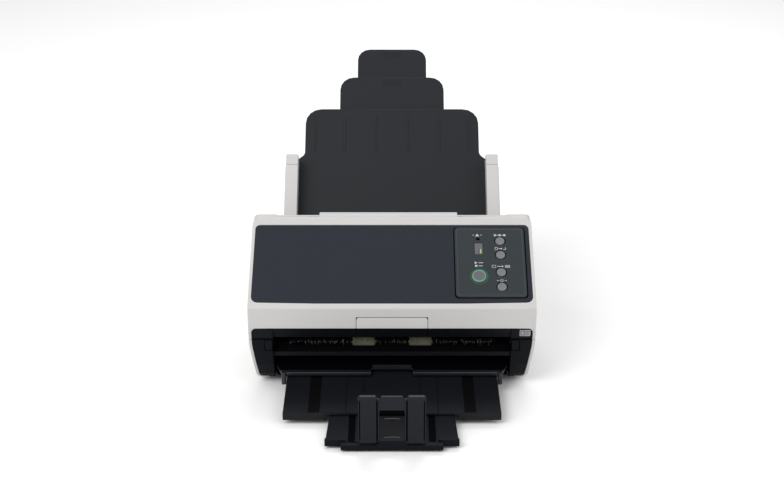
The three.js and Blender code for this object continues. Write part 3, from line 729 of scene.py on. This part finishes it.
@dataclass
class OperatorPanel:
    """The raised operator panel with its keys, lamp, display and printed marks."""

    shop: Workshop
    top: float = 1.2
    ink: float = 0.05
    gap_x: Span = (65.2, 142.6)
    gap_s: Span = (5.8, 96.8)
    gap_round: float = 4.6
    keys: tuple[Key, ...] = (
        Key("function_button", "function_key", 115.1, 77.9, 4.9),
        Key("send_button", "send_key", 115.1, 60.2, 4.9),
        Key("manual_feed_button", "manual_feed_key", 115.1, 38.2, 4.9),
        Key("power_button", "power_key", 115.1, 19.9, 4.9),
        Key("scan_button", "scan_key", 91.6, 33.5, 7.5),
    )

    def build(self) -> None:
        """Makes every piece of the operator panel."""
        shop = self.shop
        self.sheet_plate()
        shop.recast("display_window", LENS, 0.15)
        self.gasket()
        for key in self.keys:
            self.key(key)
        self.scan_ring(self.keys[-1])
        self.digit()
        self.lamp()
        self.marks()

    def sheet_plate(self) -> None:
        """Copies the raised sheet with wider wells round its keys and a bevelled rim, and paints shade in
        the small keys' wells.
        """
        source = self.shop.nodes["operator_panel"]
        plate = Solid().copy_of(source.data).moved(self.shop.panel.inverted() @ self.shop.row)
        for key in self.keys:
            wide = 2.5 if key is self.keys[-1] else 1.15
            for vert in plate.mesh.verts:
                arm = Vector((vert.co.x - key.x, vert.co.y - key.s))
                if arm.length < key.radius + 0.6:
                    arm *= (key.radius + wide) / arm.length
                    vert.co.x, vert.co.y = key.x + arm.x, key.s + arm.y
        self.shop.place(plate.soften(0.5), "operator_sheet", "cover", OPERATOR, self.shop.panel,
                        "operator_panel")
        # Near-black rings in the wells round the small keys: painted shade.
        wells = Solid()
        for key in self.keys[:-1]:
            near, far, low, high = key.radius + 0.5, key.radius + 1.5, 0.03, 0.25
            wells.revolve([(near, low), (far, low), (far, high), (near, high)], (key.x, key.s, 0))
        self.shop.place(wells, "key_wells", "cover", SEAM_AND_SHADE, self.shop.panel)

    def gasket(self) -> None:
        """Paints the dark shadow gap round the raised sheet, and a light line on its rim that is a painted
        highlight.
        """
        self.border("operator_gasket", SEAM_AND_SHADE, (0.4, 2.6), (0.02, 0.24))
        self.border("operator_edge_line", EDGE_HIGHLIGHT_GREY, (3.7, 4.1), (self.top - 0.1, self.top + 0.04))

    def outline(self, inset: float) -> list[Span]:
        """Lists the points of a rounded rectangle, inset from the gap's outer edge."""
        radius = max(self.gap_round - inset * 0.7, 1.2)
        (left, right), (foot, head) = ((low + inset + radius, high - inset - radius)
                                       for low, high in (self.gap_x, self.gap_s))
        points = []
        for quarter, (x, s) in enumerate(((right, head), (left, head), (left, foot), (right, foot))):
            turns = [math.radians(90 * quarter + 15 * step) for step in range(7)]
            points += [(x + radius * math.cos(turn), s + radius * math.sin(turn)) for turn in turns]
        return points

    def border(self, name: str, finish: Finish, insets: Span, span: Span) -> None:
        """Builds a thin border that runs round the sheet.

        Args:
            name: the piece's name.
            finish: its finish.
            insets: how far its outer and inner edges lie inside the gap's outer edge.
            span: its lower and upper level.
        """
        border, edges = Solid(), []
        for inset in insets:
            verts = [border.mesh.verts.new((x, s, span[0])) for x, s in self.outline(inset)]
            edges += [border.mesh.edges.new(pair) for pair in zip(verts, verts[1:] + verts[:1])]
        bmesh.ops.bridge_loops(border.mesh, edges=edges)
        lifted = bmesh.ops.extrude_face_region(border.mesh, geom=border.mesh.faces[:])["geom"]
        bmesh.ops.translate(border.mesh, verts=[one for one in lifted if isinstance(one, BMVert)],
                            vec=(0, 0, span[1] - span[0]))
        bmesh.ops.recalc_face_normals(border.mesh, faces=border.mesh.faces[:])
        self.shop.place(border, name, "cover", finish, self.shop.panel)

    def key(self, key: Key) -> None:
        """Turns a key cap with a dished top and a retaining flange."""
        r = key.radius
        dish = [(0, 0.95), (r * 0.45, 1.0), (r * 0.78, 1.2), (r - 0.5, 1.34), (r - 0.2, 1.26), (r, 0.95)]
        stem = [(r, -4), (r + 1.2, -4), (r + 1.2, -6), (0, -6)]
        cap = Solid().revolve(dish + stem, (key.x, key.s, 0))
        finish = SCAN_GREY if key is self.keys[-1] else KEY_GREY
        self.shop.place(cap, f"{key.body}_cap", key.body, finish, self.shop.panel, key.node)

    def scan_ring(self, key: Key) -> None:
        """Sets the green light ring round the scan key and the pale rim on it."""
        r, x, s = key.radius, key.x, key.s
        slope = [(r + 0.45, 0.12), (r + 0.5, 0.3), (r + 1.4, 0.5), (r + 2.4, 0.7), (r + 2.48, 0.62)]
        ring = Solid().revolve([*slope, (r + 2.48, 0.05), (r + 0.45, 0.05)], (x, s, 0), steps=64)
        self.shop.place(ring, "scan_light_ring", "cover", RING, self.shop.panel, sharp=50)
        rim = Solid().revolve([(r - 1.3, 1.26), (r - 0.9, 1.42), (r - 0.3, 1.36), (r + 0.08, 1.0),
                               (r + 0.08, 0.3), (r - 1.3, 0.6)], (x, s, 0), steps=64)
        self.shop.place(rim, "scan_key_rim", key.body, HALO, self.shop.panel, sharp=50)

    def digit(self) -> None:
        """Draws the display's single seven segment figure, lit as a one."""
        x0, x1, s0, s1, half = 91.3, 94.2, 62.1, 67.9, 0.35
        middle, level_span = (s0 + s1) / 2, (1.0, 1.03)
        bars = ((x0, middle, s1), (x1, middle, s1), (x0, s0, middle), (x1, s0, middle))
        lit, dim = Solid(), Solid()
        for x, low, high in bars:
            target = lit if x == x1 else dim
            target.slab([(x - half, low + 0.4), (x, low + 0.12), (x + half, low + 0.4),
                         (x + half, high - 0.4), (x, high - 0.12), (x - half, high - 0.4)], level_span)
        for s in (s1, middle, s0):
            dim.slab([(x0 + 0.12, s), (x0 + 0.4, s - half), (x1 - 0.4, s - half), (x1 - 0.12, s),
                      (x1 - 0.4, s + half), (x0 + 0.4, s + half)], level_span)
        self.shop.place(lit, "display_lit_segments", "cover", DIGIT_LIT, self.shop.panel)
        self.shop.place(dim, "display_dark_segments", "cover", DIGIT_DIM, self.shop.panel)

    def lamp(self) -> None:
        """Sets the small triangular check lamp."""
        x, s, half, tall = 91.7, 78.9, 2.6, 4.4
        lamp = Solid().slab([(x - half, s, 0.5), (x + half, s, 0.5), (x, s + tall, 0.5)],
                            (self.top - 0.1, self.top + self.ink), edge=0.1)
        self.shop.place(lamp, "check_lamp", "cover", SEAM_AND_SHADE, self.shop.panel)

    def bar(self, ink: Solid, x: Span, s: Span) -> None:
        """Prints a straight bar."""
        ink.box(x, s, (self.top, self.top + self.ink))

    def sheet(self, ink: Solid, x: float, s: float, half: float = 1.5, tall: float = 1.7) -> None:
        """Prints the outline of a sheet of paper."""
        line = 0.45
        self.bar(ink, (x - half, x + half), (s - tall, s - tall + line))
        self.bar(ink, (x - half, x + half), (s + tall - line, s + tall))
        self.bar(ink, (x - half, x - half + line), (s - tall, s + tall))
        self.bar(ink, (x + half - line, x + half), (s - tall, s + tall))

    def arrow(self, ink: Solid, x: Span, s: float) -> None:
        """Prints an arrow that points to the right."""
        self.bar(ink, (x[0], x[1] - 1.4), (s - 0.35, s + 0.35))
        ink.slab([(x[1] - 1.6, s - 1.3), (x[1], s), (x[1] - 1.6, s + 1.3)], (self.top, self.top + self.ink))

    def marks(self) -> None:
        """Prints a pictogram over each key and over the lamp."""
        ink = Solid()
        x, s = 115.1, 85.3
        for shift in (-5, 0, 5):
            self.bar(ink, (x + shift - 1.2, x + shift + 1.2), (s - 1.2, s + 1.2))
        self.bar(ink, (x - 5, x + 5), (s - 0.25, s + 0.25))
        s = 68.0
        self.sheet(ink, x - 4.3, s)
        self.arrow(ink, (x - 2.1, x + 2.3), s)
        self.bar(ink, (x + 3.2, x + 5.8), (s - 1.5, s - 0.9))
        self.bar(ink, (x + 5.2, x + 5.8), (s - 1.5, s + 1.5))
        s = 45.4
        self.sheet(ink, x - 7.6, s, 2.1)
        self.arrow(ink, (x - 4.2, x + 2.6), s)
        for step in range(3):
            self.bar(ink, (x + 4.0, x + 9.4), (s - 1.5 + 1.2 * step, s - 0.95 + 1.2 * step))
        self.power_mark(ink, x, 27.6)
        x, s = 91.0, 85.5
        ink.slab([(x - 2.2, s - 1.6), (x + 2.2, s - 1.6), (x, s + 1.9)], (self.top, self.top + self.ink))
        for side in Side:
            self.bar(ink, side_shift(side, x, 3.2, 5.2), (s - 0.3, s + 0.3))
        x = 91.6
        ink.slab([(x - 4.2, 48.3), (x - 1.4, 50.0), (x - 4.2, 51.7)], (self.top, self.top + self.ink))
        self.bar(ink, (x - 0.2, x + 4.6), (49.6, 50.4))
        self.bar(ink, (x - 4.0, x - 1.6), (44.9, 47.3))
        self.bar(ink, (x - 0.2, x + 4.0), (45.7, 46.5))
        self.shop.place(ink, "operator_marks", "cover", PRINT, self.shop.panel)

    def power_mark(self, ink: Solid, x: float, s: float) -> None:
        """Prints a broken ring with an upright bar between two dashes."""
        for number in range(20):
            turn = math.radians(45 + 270 * number / 19 + 90)
            spot = (x + 1.55 * math.cos(turn), s + 1.55 * math.sin(turn), 0)
            ink.rod(0.27, (self.top, self.top + self.ink), Along.Z, spot, 6)
        self.bar(ink, (x - 0.25, x + 0.25), (s + 0.1, s + 2.0))
        for side in Side:
            self.bar(ink, side_shift(side, x, 3.0, 5.2), (s - 0.3, s + 0.3))


def side_shift(side: Side, middle: float, near: float, far: float) -> Span:
    """The stretch of X between two distances from some middle, on one side of it."""
    low, high = side.span(near, far)
    return middle + low, middle + high


# ---------------------------------------------------------------- base
@dataclass
class BaseShells:
    """The side covers, cheeks, rear cover, scoop, tray and feet."""

    shop: Workshop
    foot_radius: float = 9.0
    foot_side: float = 118.0
    foot_rows: tuple[tuple[str, float], ...] = (("front", 58), ("rear", 150))
    back: float = 170.0
    bar_end: float = 8.6

    def build(self) -> None:
        """Makes every piece of the base's shells."""
        shop = self.shop
        for side in Side:
            shop.recast(f"side_cover_{side.hand}", WHITE, 0.5)
            # The left cheek takes the lit copy and the right cheek the shaded copy: painted light and
            # painted shade.
            shop.recast(f"cheek_{side.hand}", CHEEK_PAINTED_LIT if side is Side.LEFT else CHEEK_PAINTED_SHADE, 0.5)
            shop.recast(f"side_frame_{side.hand}", PLATE, 0.2)
            self.latch_block(side)
            for end, y in self.foot_rows:
                self.foot(side, end, y)
        shop.recast("rear_cover", WHITE, 0.4)
        self.scoop()
        shop.recast("base_tray", BLACK, 0.4)
        self.rear_fittings()
        self.underside()

    def scoop(self) -> None:
        """Casts the scoop, paints its ramp near black as a painted reflection of the dark mouth, and stands
        a low rib behind the finger notch.
        """
        shop = self.shop
        bar = (shop.desk @ Vector((0, self.bar_end, 0))).y
        scoop = shop.recast("front_scoop", SCOOP_DARK, 0.9, 3)
        # The ramp's upward faces behind the bar take near black: a painted reflection of the dark mouth.
        shop.second_finish(scoop, GUIDE_BLACK_AND_SHADE, lambda face: face.center.y > bar and face.normal.z > 0.2)
        rib = Solid().box((-20.6, 20.6), (11.85, 13.5), (21, 26)).soften(0.4)
        shop.place(rib, "scoop_notch_rib", "base", SCOOP_DARK, shop.desk)

    def latch_block(self, side: Side) -> None:
        """Sets the small block at a cheek's upper inner corner, in the cheek's shaded copy, with painted
        shade in the gap round it.
        """
        outline = [(3.5, 58.8), (5.7, 46.6), (9, 46.6), (9, 58.8)]
        block = Solid().slab(outline, side.span(125.9, 133.2), Along.X).soften(0.3)
        # Both latch blocks take the cheek's shaded copy, so their darker colour is painted shade.
        self.shop.place(block, f"latch_block_{side.hand}", "base", CHEEK_PAINTED_SHADE, self.shop.desk)
        # A near-black margin round the block: painted shade in the gap.
        shadow_margin = [(3.62, 59.1), (5.82, 45.9), (9, 45.9), (9, 59.1)]
        seam = Solid().slab(shadow_margin, side.span(125.1, 134.1), Along.X)
        self.shop.place(seam, f"latch_seam_{side.hand}", "base", SEAM_AND_SHADE, self.shop.desk)

    def foot(self, side: Side, end: str, y: float) -> None:
        """Turns a rubber foot with a rounded rim and a hollow underneath."""
        r = self.foot_radius
        profile = [(0, 0.7), (3.2, 0.7), (3.8, 0.0), (r - 1.2, 0.0), (r - 0.3, 0.4), (r, 1.1), (r, 1.7),
                   (r - 0.5, 1.9), (r - 0.5, 2.1), (r, 2.3), (r, 2.8), (0, 2.8)]
        foot = Solid().revolve(profile, (side.value * self.foot_side, y, 0))
        self.shop.place(foot, f"foot_{end}_{side.hand}", "base", FOOT, self.shop.desk,
                        f"rubber_foot_{end}_{side.hand}")

    def rear_fittings(self) -> None:
        """Adds screws with painted shade in their slots, a blank rating plate, the lock slot as a dark plate
        of painted shade in its frame, and the sockets at the back.
        """
        shop, back = self.shop, self.back
        head = [(0, 0.9), (1.6, 0.8), (2.6, 0.45), (3.0, 0.0), (0, 0)]
        screws, slots = Solid(), Solid()
        for x, z in ((-132, 26), (132, 26), (-132, 96), (132, 96), (0, 30)):
            screws.revolve(head, (x, back, z), Along.Y, 24)
            for wide, tall in ((1.7, 0.3), (0.3, 1.7)):
                slots.box((x - wide, x + wide), (back + 0.5, back + 0.93), (z - tall, z + tall))
        shop.place(screws, "rear_screws", "base", STEEL, shop.desk)
        # The near-black bars in the screw heads are painted shade in their slots.
        shop.place(slots, "rear_screw_slots", "base", SEAM_AND_SHADE, shop.desk)
        plate = Solid().plate((14, 44), (12, 52), (back, back + 0.15), 1.5, Along.Y)
        shop.place(plate, "rating_plate", "base", LABEL, shop.desk)
        # The lock slot is a flat near-black plate: painted shade in place of the hole.
        lock = Solid().plate((18, 21.4), (-122, -113.6), (back - 0.1, back + 0.2), 1.4, Along.Y)
        shop.place(lock, "lock_slot", "base", SEAM_AND_SHADE, shop.desk)
        lock_frame = Solid().plate((16.6, 22.8), (-123.6, -112), (back - 0.1, back + 0.12), 2.4, Along.Y)
        shop.place(lock_frame, "lock_slot_frame", "base", PLATE, shop.desk)
        self.sockets()
        shop.recast("main_board", BOARD, 0.1)
        shop.recast("dc_inlet", BLACK, 0.25)
        shop.recast("usb_port", PLATE, 0.2)

    def sockets(self) -> None:
        """Fills the power inlet and the data port, and marks them."""
        shop, back = self.shop, self.back
        pin = Solid().rod(1.0, (160, 168.6), Along.Y, (100, 0, 24), 20, 0.8)
        shop.place(pin, "dc_centre_pin", "base", STEEL, shop.desk)
        tongue = Solid().box((72.6, 77.4), (158.5, 167.4), (22.4, 25.6)).soften(0.3)
        shop.place(tongue, "usb_tongue", "base", PRINT, shop.desk)
        contacts = Solid()
        for x in (73.6, 76.4):
            for z in (22.1, 25.55):
                contacts.box((x - 0.5, x + 0.5), (159, 166.6), (z, z + 0.35))
        shop.place(contacts, "usb_contacts", "base", BRASS, shop.desk)
        ink = (back, back + 0.06)
        ring = [(1.3, ink[0]), (1.3, ink[1]), (1.9, ink[1]), (1.9, ink[0])]
        marks = Solid().revolve(ring, (100, 0, 38), Along.Y, 32).rod(0.5, ink, Along.Y, (100, 0, 38), 16)
        marks.box((73.2, 76.8), ink, (36.4, 37.0)).box((74.7, 75.3), ink, (36.4, 39.8))
        shop.place(marks, "socket_marks", "base", DARK_PRINT, shop.desk)

    def underside(self) -> None:
        """Adds ribs, screws and a blank label under the tray."""
        shop = self.shop
        screws = Solid()
        for side in Side:
            for y in (76, 132):
                screws.revolve([(0, 2.5), (1.8, 2.55), (2.7, 2.85), (3.0, 3.2), (0, 3.2)],
                               (side.value * 96, y, 0), Along.Z, 24)
        shop.place(screws, "tray_screws", "base", STEEL, shop.desk)
        ribs = Solid()
        for x in range(-100, 101, 40):
            ribs.box((x - 0.8, x + 0.8), (62, 150), (2.3, 3.3))
        shop.place(ribs.soften(0.2), "tray_ribs", "base", BLACK, shop.desk)
        label = Solid().plate((-18, 18), (84, 124), (3.0, 3.25), 2)
        shop.place(label, "underside_label", "base", LABEL, shop.desk)


# ---------------------------------------------------------------- paper path
@dataclass(frozen=True)
class Roller:
    """A roller: its body, its nodes' stem, its axis and the stretch of its tyres."""

    stem: str
    body: str
    y: float
    z: float
    radius: float
    near: float
    far: float


@dataclass
class PaperPath:
    """Rollers, guides, reading units and drive."""

    shop: Workshop
    driven: tuple[Roller, ...] = (
        Roller("pick", "pick_roller", 92.881, 73.913, 12, 12, 30),
        Roller("feed", "feed_roller", 69.661, 66.859, 9, 20, 42),
        Roller("eject", "eject_roller", 25.254, 48.182, 8, 18.3, 41.3),
    )
    idlers: tuple[Roller, ...] = (
        Roller("brake_roller", "brake", 84.217, 93.372, 9, 0, 24),
        Roller("feed_idler", "feed_idler", 63.438, 80.836, 6, 20, 42),
        Roller("eject_idler", "eject_idler", 19.641, 60.789, 5.5, 19, 41),
    )

    def build(self) -> None:
        """Makes every piece of the paper path."""
        shop = self.shop
        guide = shop.recast("lower_paper_guide", GUIDE_BLACK_AND_SHADE, 0.3)
        # The guide's forward facing faces take the lighter band finish: painted light on its front.
        shop.second_finish(guide, BAND_DARK, lambda face: face.normal.y < -0.95)
        shop.recast("lower_scan_unit", BLACK, 0.3)
        shop.carry(GLASS, "lower_scan_glass")
        for roller in self.driven:
            shop.recast(f"{roller.stem}_shaft", STEEL, 0.25)
            self.retaining_rings(roller)
            for side in Side:
                self.tyre(roller, side, f"{roller.stem}_tyre_{side.hand}")
        for roller in self.idlers:
            self.idler(roller)
        self.guide_ribs()
        self.drive()

    def tyre(self, roller: Roller, side: Side, *node: str) -> None:
        """Turns one tyre with rounded edges and shallow grooves."""
        low, high = side.span(roller.near, roller.far)
        r, pitch, bore = roller.radius, 2.6, 4.25 if roller in self.driven else 2.0
        profile = [(bore, low), (r - 0.5, low), (r, low + 0.5)]
        grooves = int((high - low - 2) / pitch)
        start = (low + high) / 2 - pitch * (grooves - 1) / 2
        for number in range(grooves):
            x = start + pitch * number
            profile += [(r, x - 0.4), (r - 0.35, x - 0.25), (r - 0.35, x + 0.25), (r, x + 0.4)]
        profile += [(r, high - 0.5), (r - 0.5, high), (bore, high)]
        tyre = Solid().revolve(profile, (0, roller.y, roller.z), Along.X)
        name = f"{roller.stem}_ground_tyre_{side.hand}"
        self.shop.place(tyre, name, roller.body, TYRE, self.shop.desk, *node, sharp=40)

    def idler(self, roller: Roller) -> None:
        """Turns an idler's thin shaft and its tyres."""
        at = (0, roller.y, roller.z)
        profile = [(0, -123.5), (1.6, -123.5), (2, -123), (2, 123), (1.6, 123.5), (0, 123.5)]
        shaft = Solid().revolve(profile, at, Along.X, 24)
        self.shop.place(shaft, f"{roller.body}_thin_shaft", roller.body, STEEL, self.shop.desk, roller.stem)
        for side in Side:
            self.tyre(roller, side)

    def retaining_rings(self, roller: Roller) -> None:
        """Clips a ring on both ends of a driven shaft, outside the side frames."""
        rings = Solid()
        for side in Side:
            low, high = side.span(130.0, 130.8)
            rings.revolve([(4.02, low), (5.6, low), (5.8, (low + high) / 2), (5.6, high), (4.02, high)],
                          (0, roller.y, roller.z), Along.X, 24)
        self.shop.place(rings, f"{roller.stem}_shaft_rings", roller.body, STEEL, self.shop.desk)

    def guide_ribs(self) -> None:
        """Raises fine ribs along the lower paper guide, before and behind the glass."""
        ribs = Solid()
        for x in (52, 66, 80, 94, 108):
            for side in Side:
                for low, high in ((12.5, 18.5), (38, 73)):
                    ribs.box(side.span(x - 0.5, x + 0.5), (low, high), (-1.0, -0.35))
        self.shop.place(ribs.soften(0.15), "lower_guide_ribs", "base", GUIDE_BLACK_AND_SHADE, self.shop.path)
        strip = Solid().box((-106, 106), (26.4, 29.6), (-8.2, -7.4))
        self.shop.place(strip, "lower_reference_strip", "base", PRINT, self.shop.path)

    def drive(self) -> None:
        """Dresses the motor and its belt, and adds the motor's tie screws and terminal."""
        shop = self.shop
        shop.recast("feed_motor", PLATE, 0.6)
        shop.recast("drive_belt", BELT, 0.2)
        shop.recast("motor_pulley", STEEL, 0.2)
        screws, circle = Solid(), 11.5
        head = [(0, -92), (1.5, -92), (1.5, -91.2), (1.1, -90.8), (0, -90.8)]
        for number in range(4):
            turn = math.tau * number / 4 + 0.8
            spot = (0, 116 + circle * math.cos(turn), 52 + circle * math.sin(turn))
            screws.revolve(head, spot, Along.X, 16)
        shop.place(screws, "motor_screws", "base", STEEL, shop.desk)
        terminal = Solid().box((-92, -88.5), (112, 120), (60, 65)).soften(0.3)
        shop.place(terminal, "motor_terminal", "base", PRINT, shop.desk)


# ---------------------------------------------------------------- paper chute
@dataclass
class Chute:
    """The paper chute with its guides, rack pinion and extensions."""

    shop: Workshop
    guide_near: float = 105.2
    guide_far: float = 118.6

    def build(self) -> None:
        """Makes every piece of the chute."""
        shop = self.shop
        shop.recast("paper_chute", CHUTE_DARK, 0.6, 3)
        shop.recast("chute_extension_1", CHUTE_DARK, 0.6, 3)
        shop.recast("chute_extension_2", CHUTE_DARK, 0.6, 3)
        for side in Side:
            shop.recast(f"side_guide_{side.hand}", GUIDE_WHITE, 0.6, 3)
            self.guide_details(side)
        shop.recast("guide_pinion", NYLON, 0.2)
        self.plate_details()
        self.grips()

    def guide_details(self, side: Side) -> None:
        """Adds a guide's seam, its outer skirt and a dark plate of painted shade in its square hole."""
        shop, body = self.shop, f"{side.hand}_guide"
        across = side.span(self.guide_near - 0.03, self.guide_far + 0.03)
        seam = Solid().box(across, (50.9, 51.4), (0.2, 20.03))
        shop.place(seam, f"guide_seam_{side.hand}", body, GUIDE_SHADE, shop.chute)
        skirt = Solid().slab([(-26, 1), (49.4, 1), (49.4, 19.2, 1), (-19.5, 19.2, 2), (-26, 8.5, 2)],
                             side.span(self.guide_far - 0.2, self.guide_far + 0.6), Along.X).soften(0.25)
        shop.place(skirt, f"guide_skirt_{side.hand}", body, GUIDE_WHITE, shop.chute)
        # A near-black plate in the square hole: painted shade.
        hole_shadow_plate = Solid().box(side.span(112.65, 112.9), (15.05, 20.95), (8.05, 13.95))
        shop.place(hole_shadow_plate, f"guide_hole_lining_{side.hand}", body, SEAM_AND_SHADE, shop.chute)

    def plate_details(self) -> None:
        """Raises ribs on the upper plate and prints width ticks."""
        shop = self.shop
        ribs = Solid()
        for x in (18, 54, 88):
            for side in Side:
                ribs.plate(side.span(x - 1.1, x + 1.1), (78, 122), (-1.0, -0.1), 1, edge=0.3)
        shop.place(ribs, "chute_ribs", "base", CHUTE_DARK, shop.chute)
        ticks = Solid()
        for x in (52.5, 74, 91, 105):
            for side in Side:
                ticks.box(side.span(x - 0.3, x + 0.3), (-8.6, -4.2), (-0.8, -0.76))
                ticks.box(side.span(x - 2.2, x + 0.3), (-4.8, -4.2), (-0.8, -0.76))
        shop.place(ticks, "width_ticks", "base", PRINT, shop.chute)

    def grips(self) -> None:
        """Adds a finger grip of low bars to the end of each extension."""
        for number, start, top in ((1, 165.0, -5.2), (2, 205.5, -9.7)):
            bars = Solid()
            for step in range(3):
                s = start + 2.8 * step
                bars.plate((-11, 11), (s, s + 1.2), (top - 0.1, top + 0.28), 0.5, edge=0.12)
            self.shop.place(bars, f"chute_grip_{number}", f"chute_slide_{number}", CHUTE_DARK,
                            self.shop.chute)


# ---------------------------------------------------------------- stacker
@dataclass
class Stacker:
    """The pull-out stacker with its extensions, their painted shade and highlighted ridges, and the fold-up
    stopper.
    """

    shop: Workshop
    front: float = -56.4
    middle: float = -54.4
    back: float = -52.4

    def build(self) -> None:
        """Makes every piece of the stacker."""
        shop = self.shop
        shop.recast("stacker_tray", DARK, 0.4)
        shop.recast("stacker_extension_1", EXTENSION_DARK, 0.4)
        shop.recast("stacker_extension_2", EXTENSION_DARK, 0.4)
        self.tray_details()
        self.extension_details()
        self.stopper()

    def tray_details(self) -> None:
        """Paints shade into the tray's two lanes, rules fine ribs in them and puts painted shade behind the
        finger notch.
        """
        ribs = Solid()
        for x in (76, 79.6, 83.2):
            for side in Side:
                ribs.box(side.span(x - 0.35, x + 0.35), (4, 96), (-0.85, -0.45))
        self.shop.place(ribs, "stacker_lane_ribs", "stacker", BLACK, self.shop.stacker)
        lanes = Solid()
        for side in Side:
            lanes.box(side.span(73.9, 85.3), (4, 96), (-0.9, -0.72))
        self.shop.place(lanes, "stacker_lane_shade", "stacker", BLACK, self.shop.stacker)
        # A near-black plate behind the finger notch: painted shade in the notch.
        notch = Solid().box((-12.8, 12.8), (-0.06, 9), (-1.92, 0.06))
        self.shop.place(notch, "tray_finger_notch", "stacker", SEAM_AND_SHADE, self.shop.stacker)

    def extension_details(self) -> None:
        """Paints shade into the outer extension's slots and middle, and raises two thin bowed bars there
        whose light grey is a painted highlight.
        """
        shop = self.shop
        shade = Solid().box((-12.2, 12.2), (-46, 1.5), (-2.3, -2.12))
        shop.place(shade, "extension_middle_shade", "stacker_slide_1", BAND_DARK, shop.stacker)
        slots, bars = Solid(), Solid()
        for side in Side:
            slots.box(side.span(36.8, 43.2), (-50, 29), (-3.1, -2.92))
        shop.place(slots, "extension_slot_shade", "stacker_slide_1", GUIDE_BLACK_AND_SHADE, shop.stacker)
        half, bow, thick = 7.5, 1.1, 0.6
        for s in (-6.8, -41.8):
            bars.slab([(-half, s), (0, s + bow), (half, s), (half, s + thick), (0, s + bow + thick),
                       (-half, s + thick)], (-2.25, -2.0))
        # The bars are raised, and their light grey is a painted highlight.
        shop.place(bars, "pull_marks", "stacker_slide_1", RIDGE_HIGHLIGHT_GREY, shop.stacker)

    def stopper(self) -> None:
        """Builds the stopper: two framed prongs, a bridge between them and the hinge barrels, with painted
        shade in the gaps behind the pads.
        """
        frame, pads, ribs, gap_shadows = Solid(), Solid(), Solid(), Solid()
        for side in Side:
            frame.box(side.span(12.5, 32.9), (self.middle, self.back), (1.6, 49.5))
            for near, far in ((12.5, 13.8), (31.9, 32.9)):
                frame.box(side.span(near, far), (self.front, self.middle + 0.2), (1.6, 49.5))
            low, high = side.span(14.6, 33.2)
            cap = [(48.4, low), (52.8, low, 2.4), (52.8, high, 2.4), (48.4, high)]
            frame.slab(cap, (self.front, self.back), Along.Y)
            frame.rod(2.0, side.span(15, 32.4), Along.X, (0, self.middle, 1.6), 20)
            pads.box(side.span(15.2, 31.0), (self.front, self.middle + 0.2), (2.2, 48.7))
            gap_shadows.box(side.span(13.7, 32.0), (self.middle - 0.12, self.middle + 0.1), (1.8, 48.6))
            for number in range(11):
                x = 16.4 + 1.34 * number
                ribs.box(side.span(x - 0.22, x + 0.22), (self.front - 0.16, self.front + 0.1), (4, 47.6))
        bridge = [(37.2, -14), (49, -14), (49, -12.4), (52.4, -10.4),
                  (52.4, 10.4), (49, 12.4), (49, 14), (37.2, 14)]
        frame.slab(bridge, (self.middle - 1.2, self.middle + 1.6), Along.Y)
        shop, body = self.shop, "stopper"
        shop.place(frame.soften(0.35), "stopper_frame", body, STOPPER_DARK, shop.stacker, "stacker_stopper")
        shop.place(pads.soften(0.45), "stopper_pads", body, STOPPER_DARK, shop.stacker)
        shop.place(ribs, "stopper_ribs", body, STOPPER_DARK, shop.stacker)
        # Near-black sheets in the gaps behind the pads: painted shade.
        shop.place(gap_shadows, "stopper_gaps", body, SEAM_AND_SHADE, shop.stacker)


# ---------------------------------------------------------------- studio
@dataclass
class Studio:
    """Camera, floor and soft light."""

    distance: float = 1.51388
    height: float = 0.7215
    elevation: float = 21.0
    lens: float = 68.88

    def camera(self) -> None:
        """Places the camera at the front of the object, looking down on it."""
        data = bpy.data.cameras.new("camera")
        data.lens, data.sensor_width, data.sensor_fit = self.lens, 36.0, "HORIZONTAL"
        camera = bpy.data.objects.new("camera", data)
        camera.location = (0, -self.distance, self.height)
        camera.rotation_euler = (math.radians(90 - self.elevation), 0, 0)
        bpy.context.scene.collection.objects.link(camera)
        bpy.context.scene.camera = camera

    def floor(self) -> None:
        """Lays a plain pale floor."""
        mesh = bmesh.new()
        bmesh.ops.create_grid(mesh, x_segments=1, y_segments=1, size=20,
                              matrix=Matrix.Translation((0, 0, -0.0003)))
        data = bpy.data.meshes.new("floor")
        mesh.to_mesh(data)
        mesh.free()
        bench = Bench("floor_paper")
        shader = bench.node("ShaderNodeBsdfPrincipled", {}, {
            "Base Color": (0.93, 0.93, 0.93, 1), "Roughness": 0.9, "Specular IOR Level": 0.0})
        data.materials.append(bench.close(shader))
        floor = bpy.data.objects.new("floor", data)
        bpy.context.scene.collection.objects.link(floor)

    def lamp(self, name: str, power: float, size: float, place: Sequence[float],
             aim: Sequence[float]) -> None:
        """Hangs a square soft light that faces a point."""
        data = bpy.data.lights.new(name, "AREA")
        data.energy, data.size, data.shape = power, size, "SQUARE"
        lamp = bpy.data.objects.new(name, data)
        lamp.location = place
        lamp.rotation_euler = (Vector(aim) - Vector(place)).to_track_quat("-Z", "Y").to_euler()
        bpy.context.scene.collection.objects.link(lamp)

    def light(self) -> None:
        """Sets the soft studio light and plain colour handling."""
        scene = bpy.context.scene
        scene.view_settings.view_transform = "Standard"
        world = bpy.data.worlds.new("studio")
        world.use_nodes = True
        sky = world.node_tree.nodes["Background"].inputs
        sky["Color"].default_value = (1, 1, 1, 1)
        sky["Strength"].default_value = 0.6
        scene.world = world
        self.lamp("key_light", 41, 1.6, (-1.3, -1.5, 1.9), (0, 0, 0.1))
        self.lamp("fill_light", 11, 1.6, (1.6, -1.2, 1.5), (0, 0, 0.1))
        self.lamp("back_light", 19, 1.4, (0.2, 1.6, 1.9), (0, 0, 0.15))

    def build(self) -> None:
        """Sets up the whole studio."""
        self.camera()
        self.floor()
        self.light()


def main() -> None:
    """Builds the studio and every sub-assembly in order."""
    logging.basicConfig(level=logging.INFO, format="%(name)s: %(message)s")
    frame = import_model()
    shop = Workshop(frame)
    Studio().build()
    for assembly in (Cover, OperatorPanel, BaseShells, PaperPath, Chute, Stacker):
        assembly(shop).build()


if __name__ == "__main__":
    main()
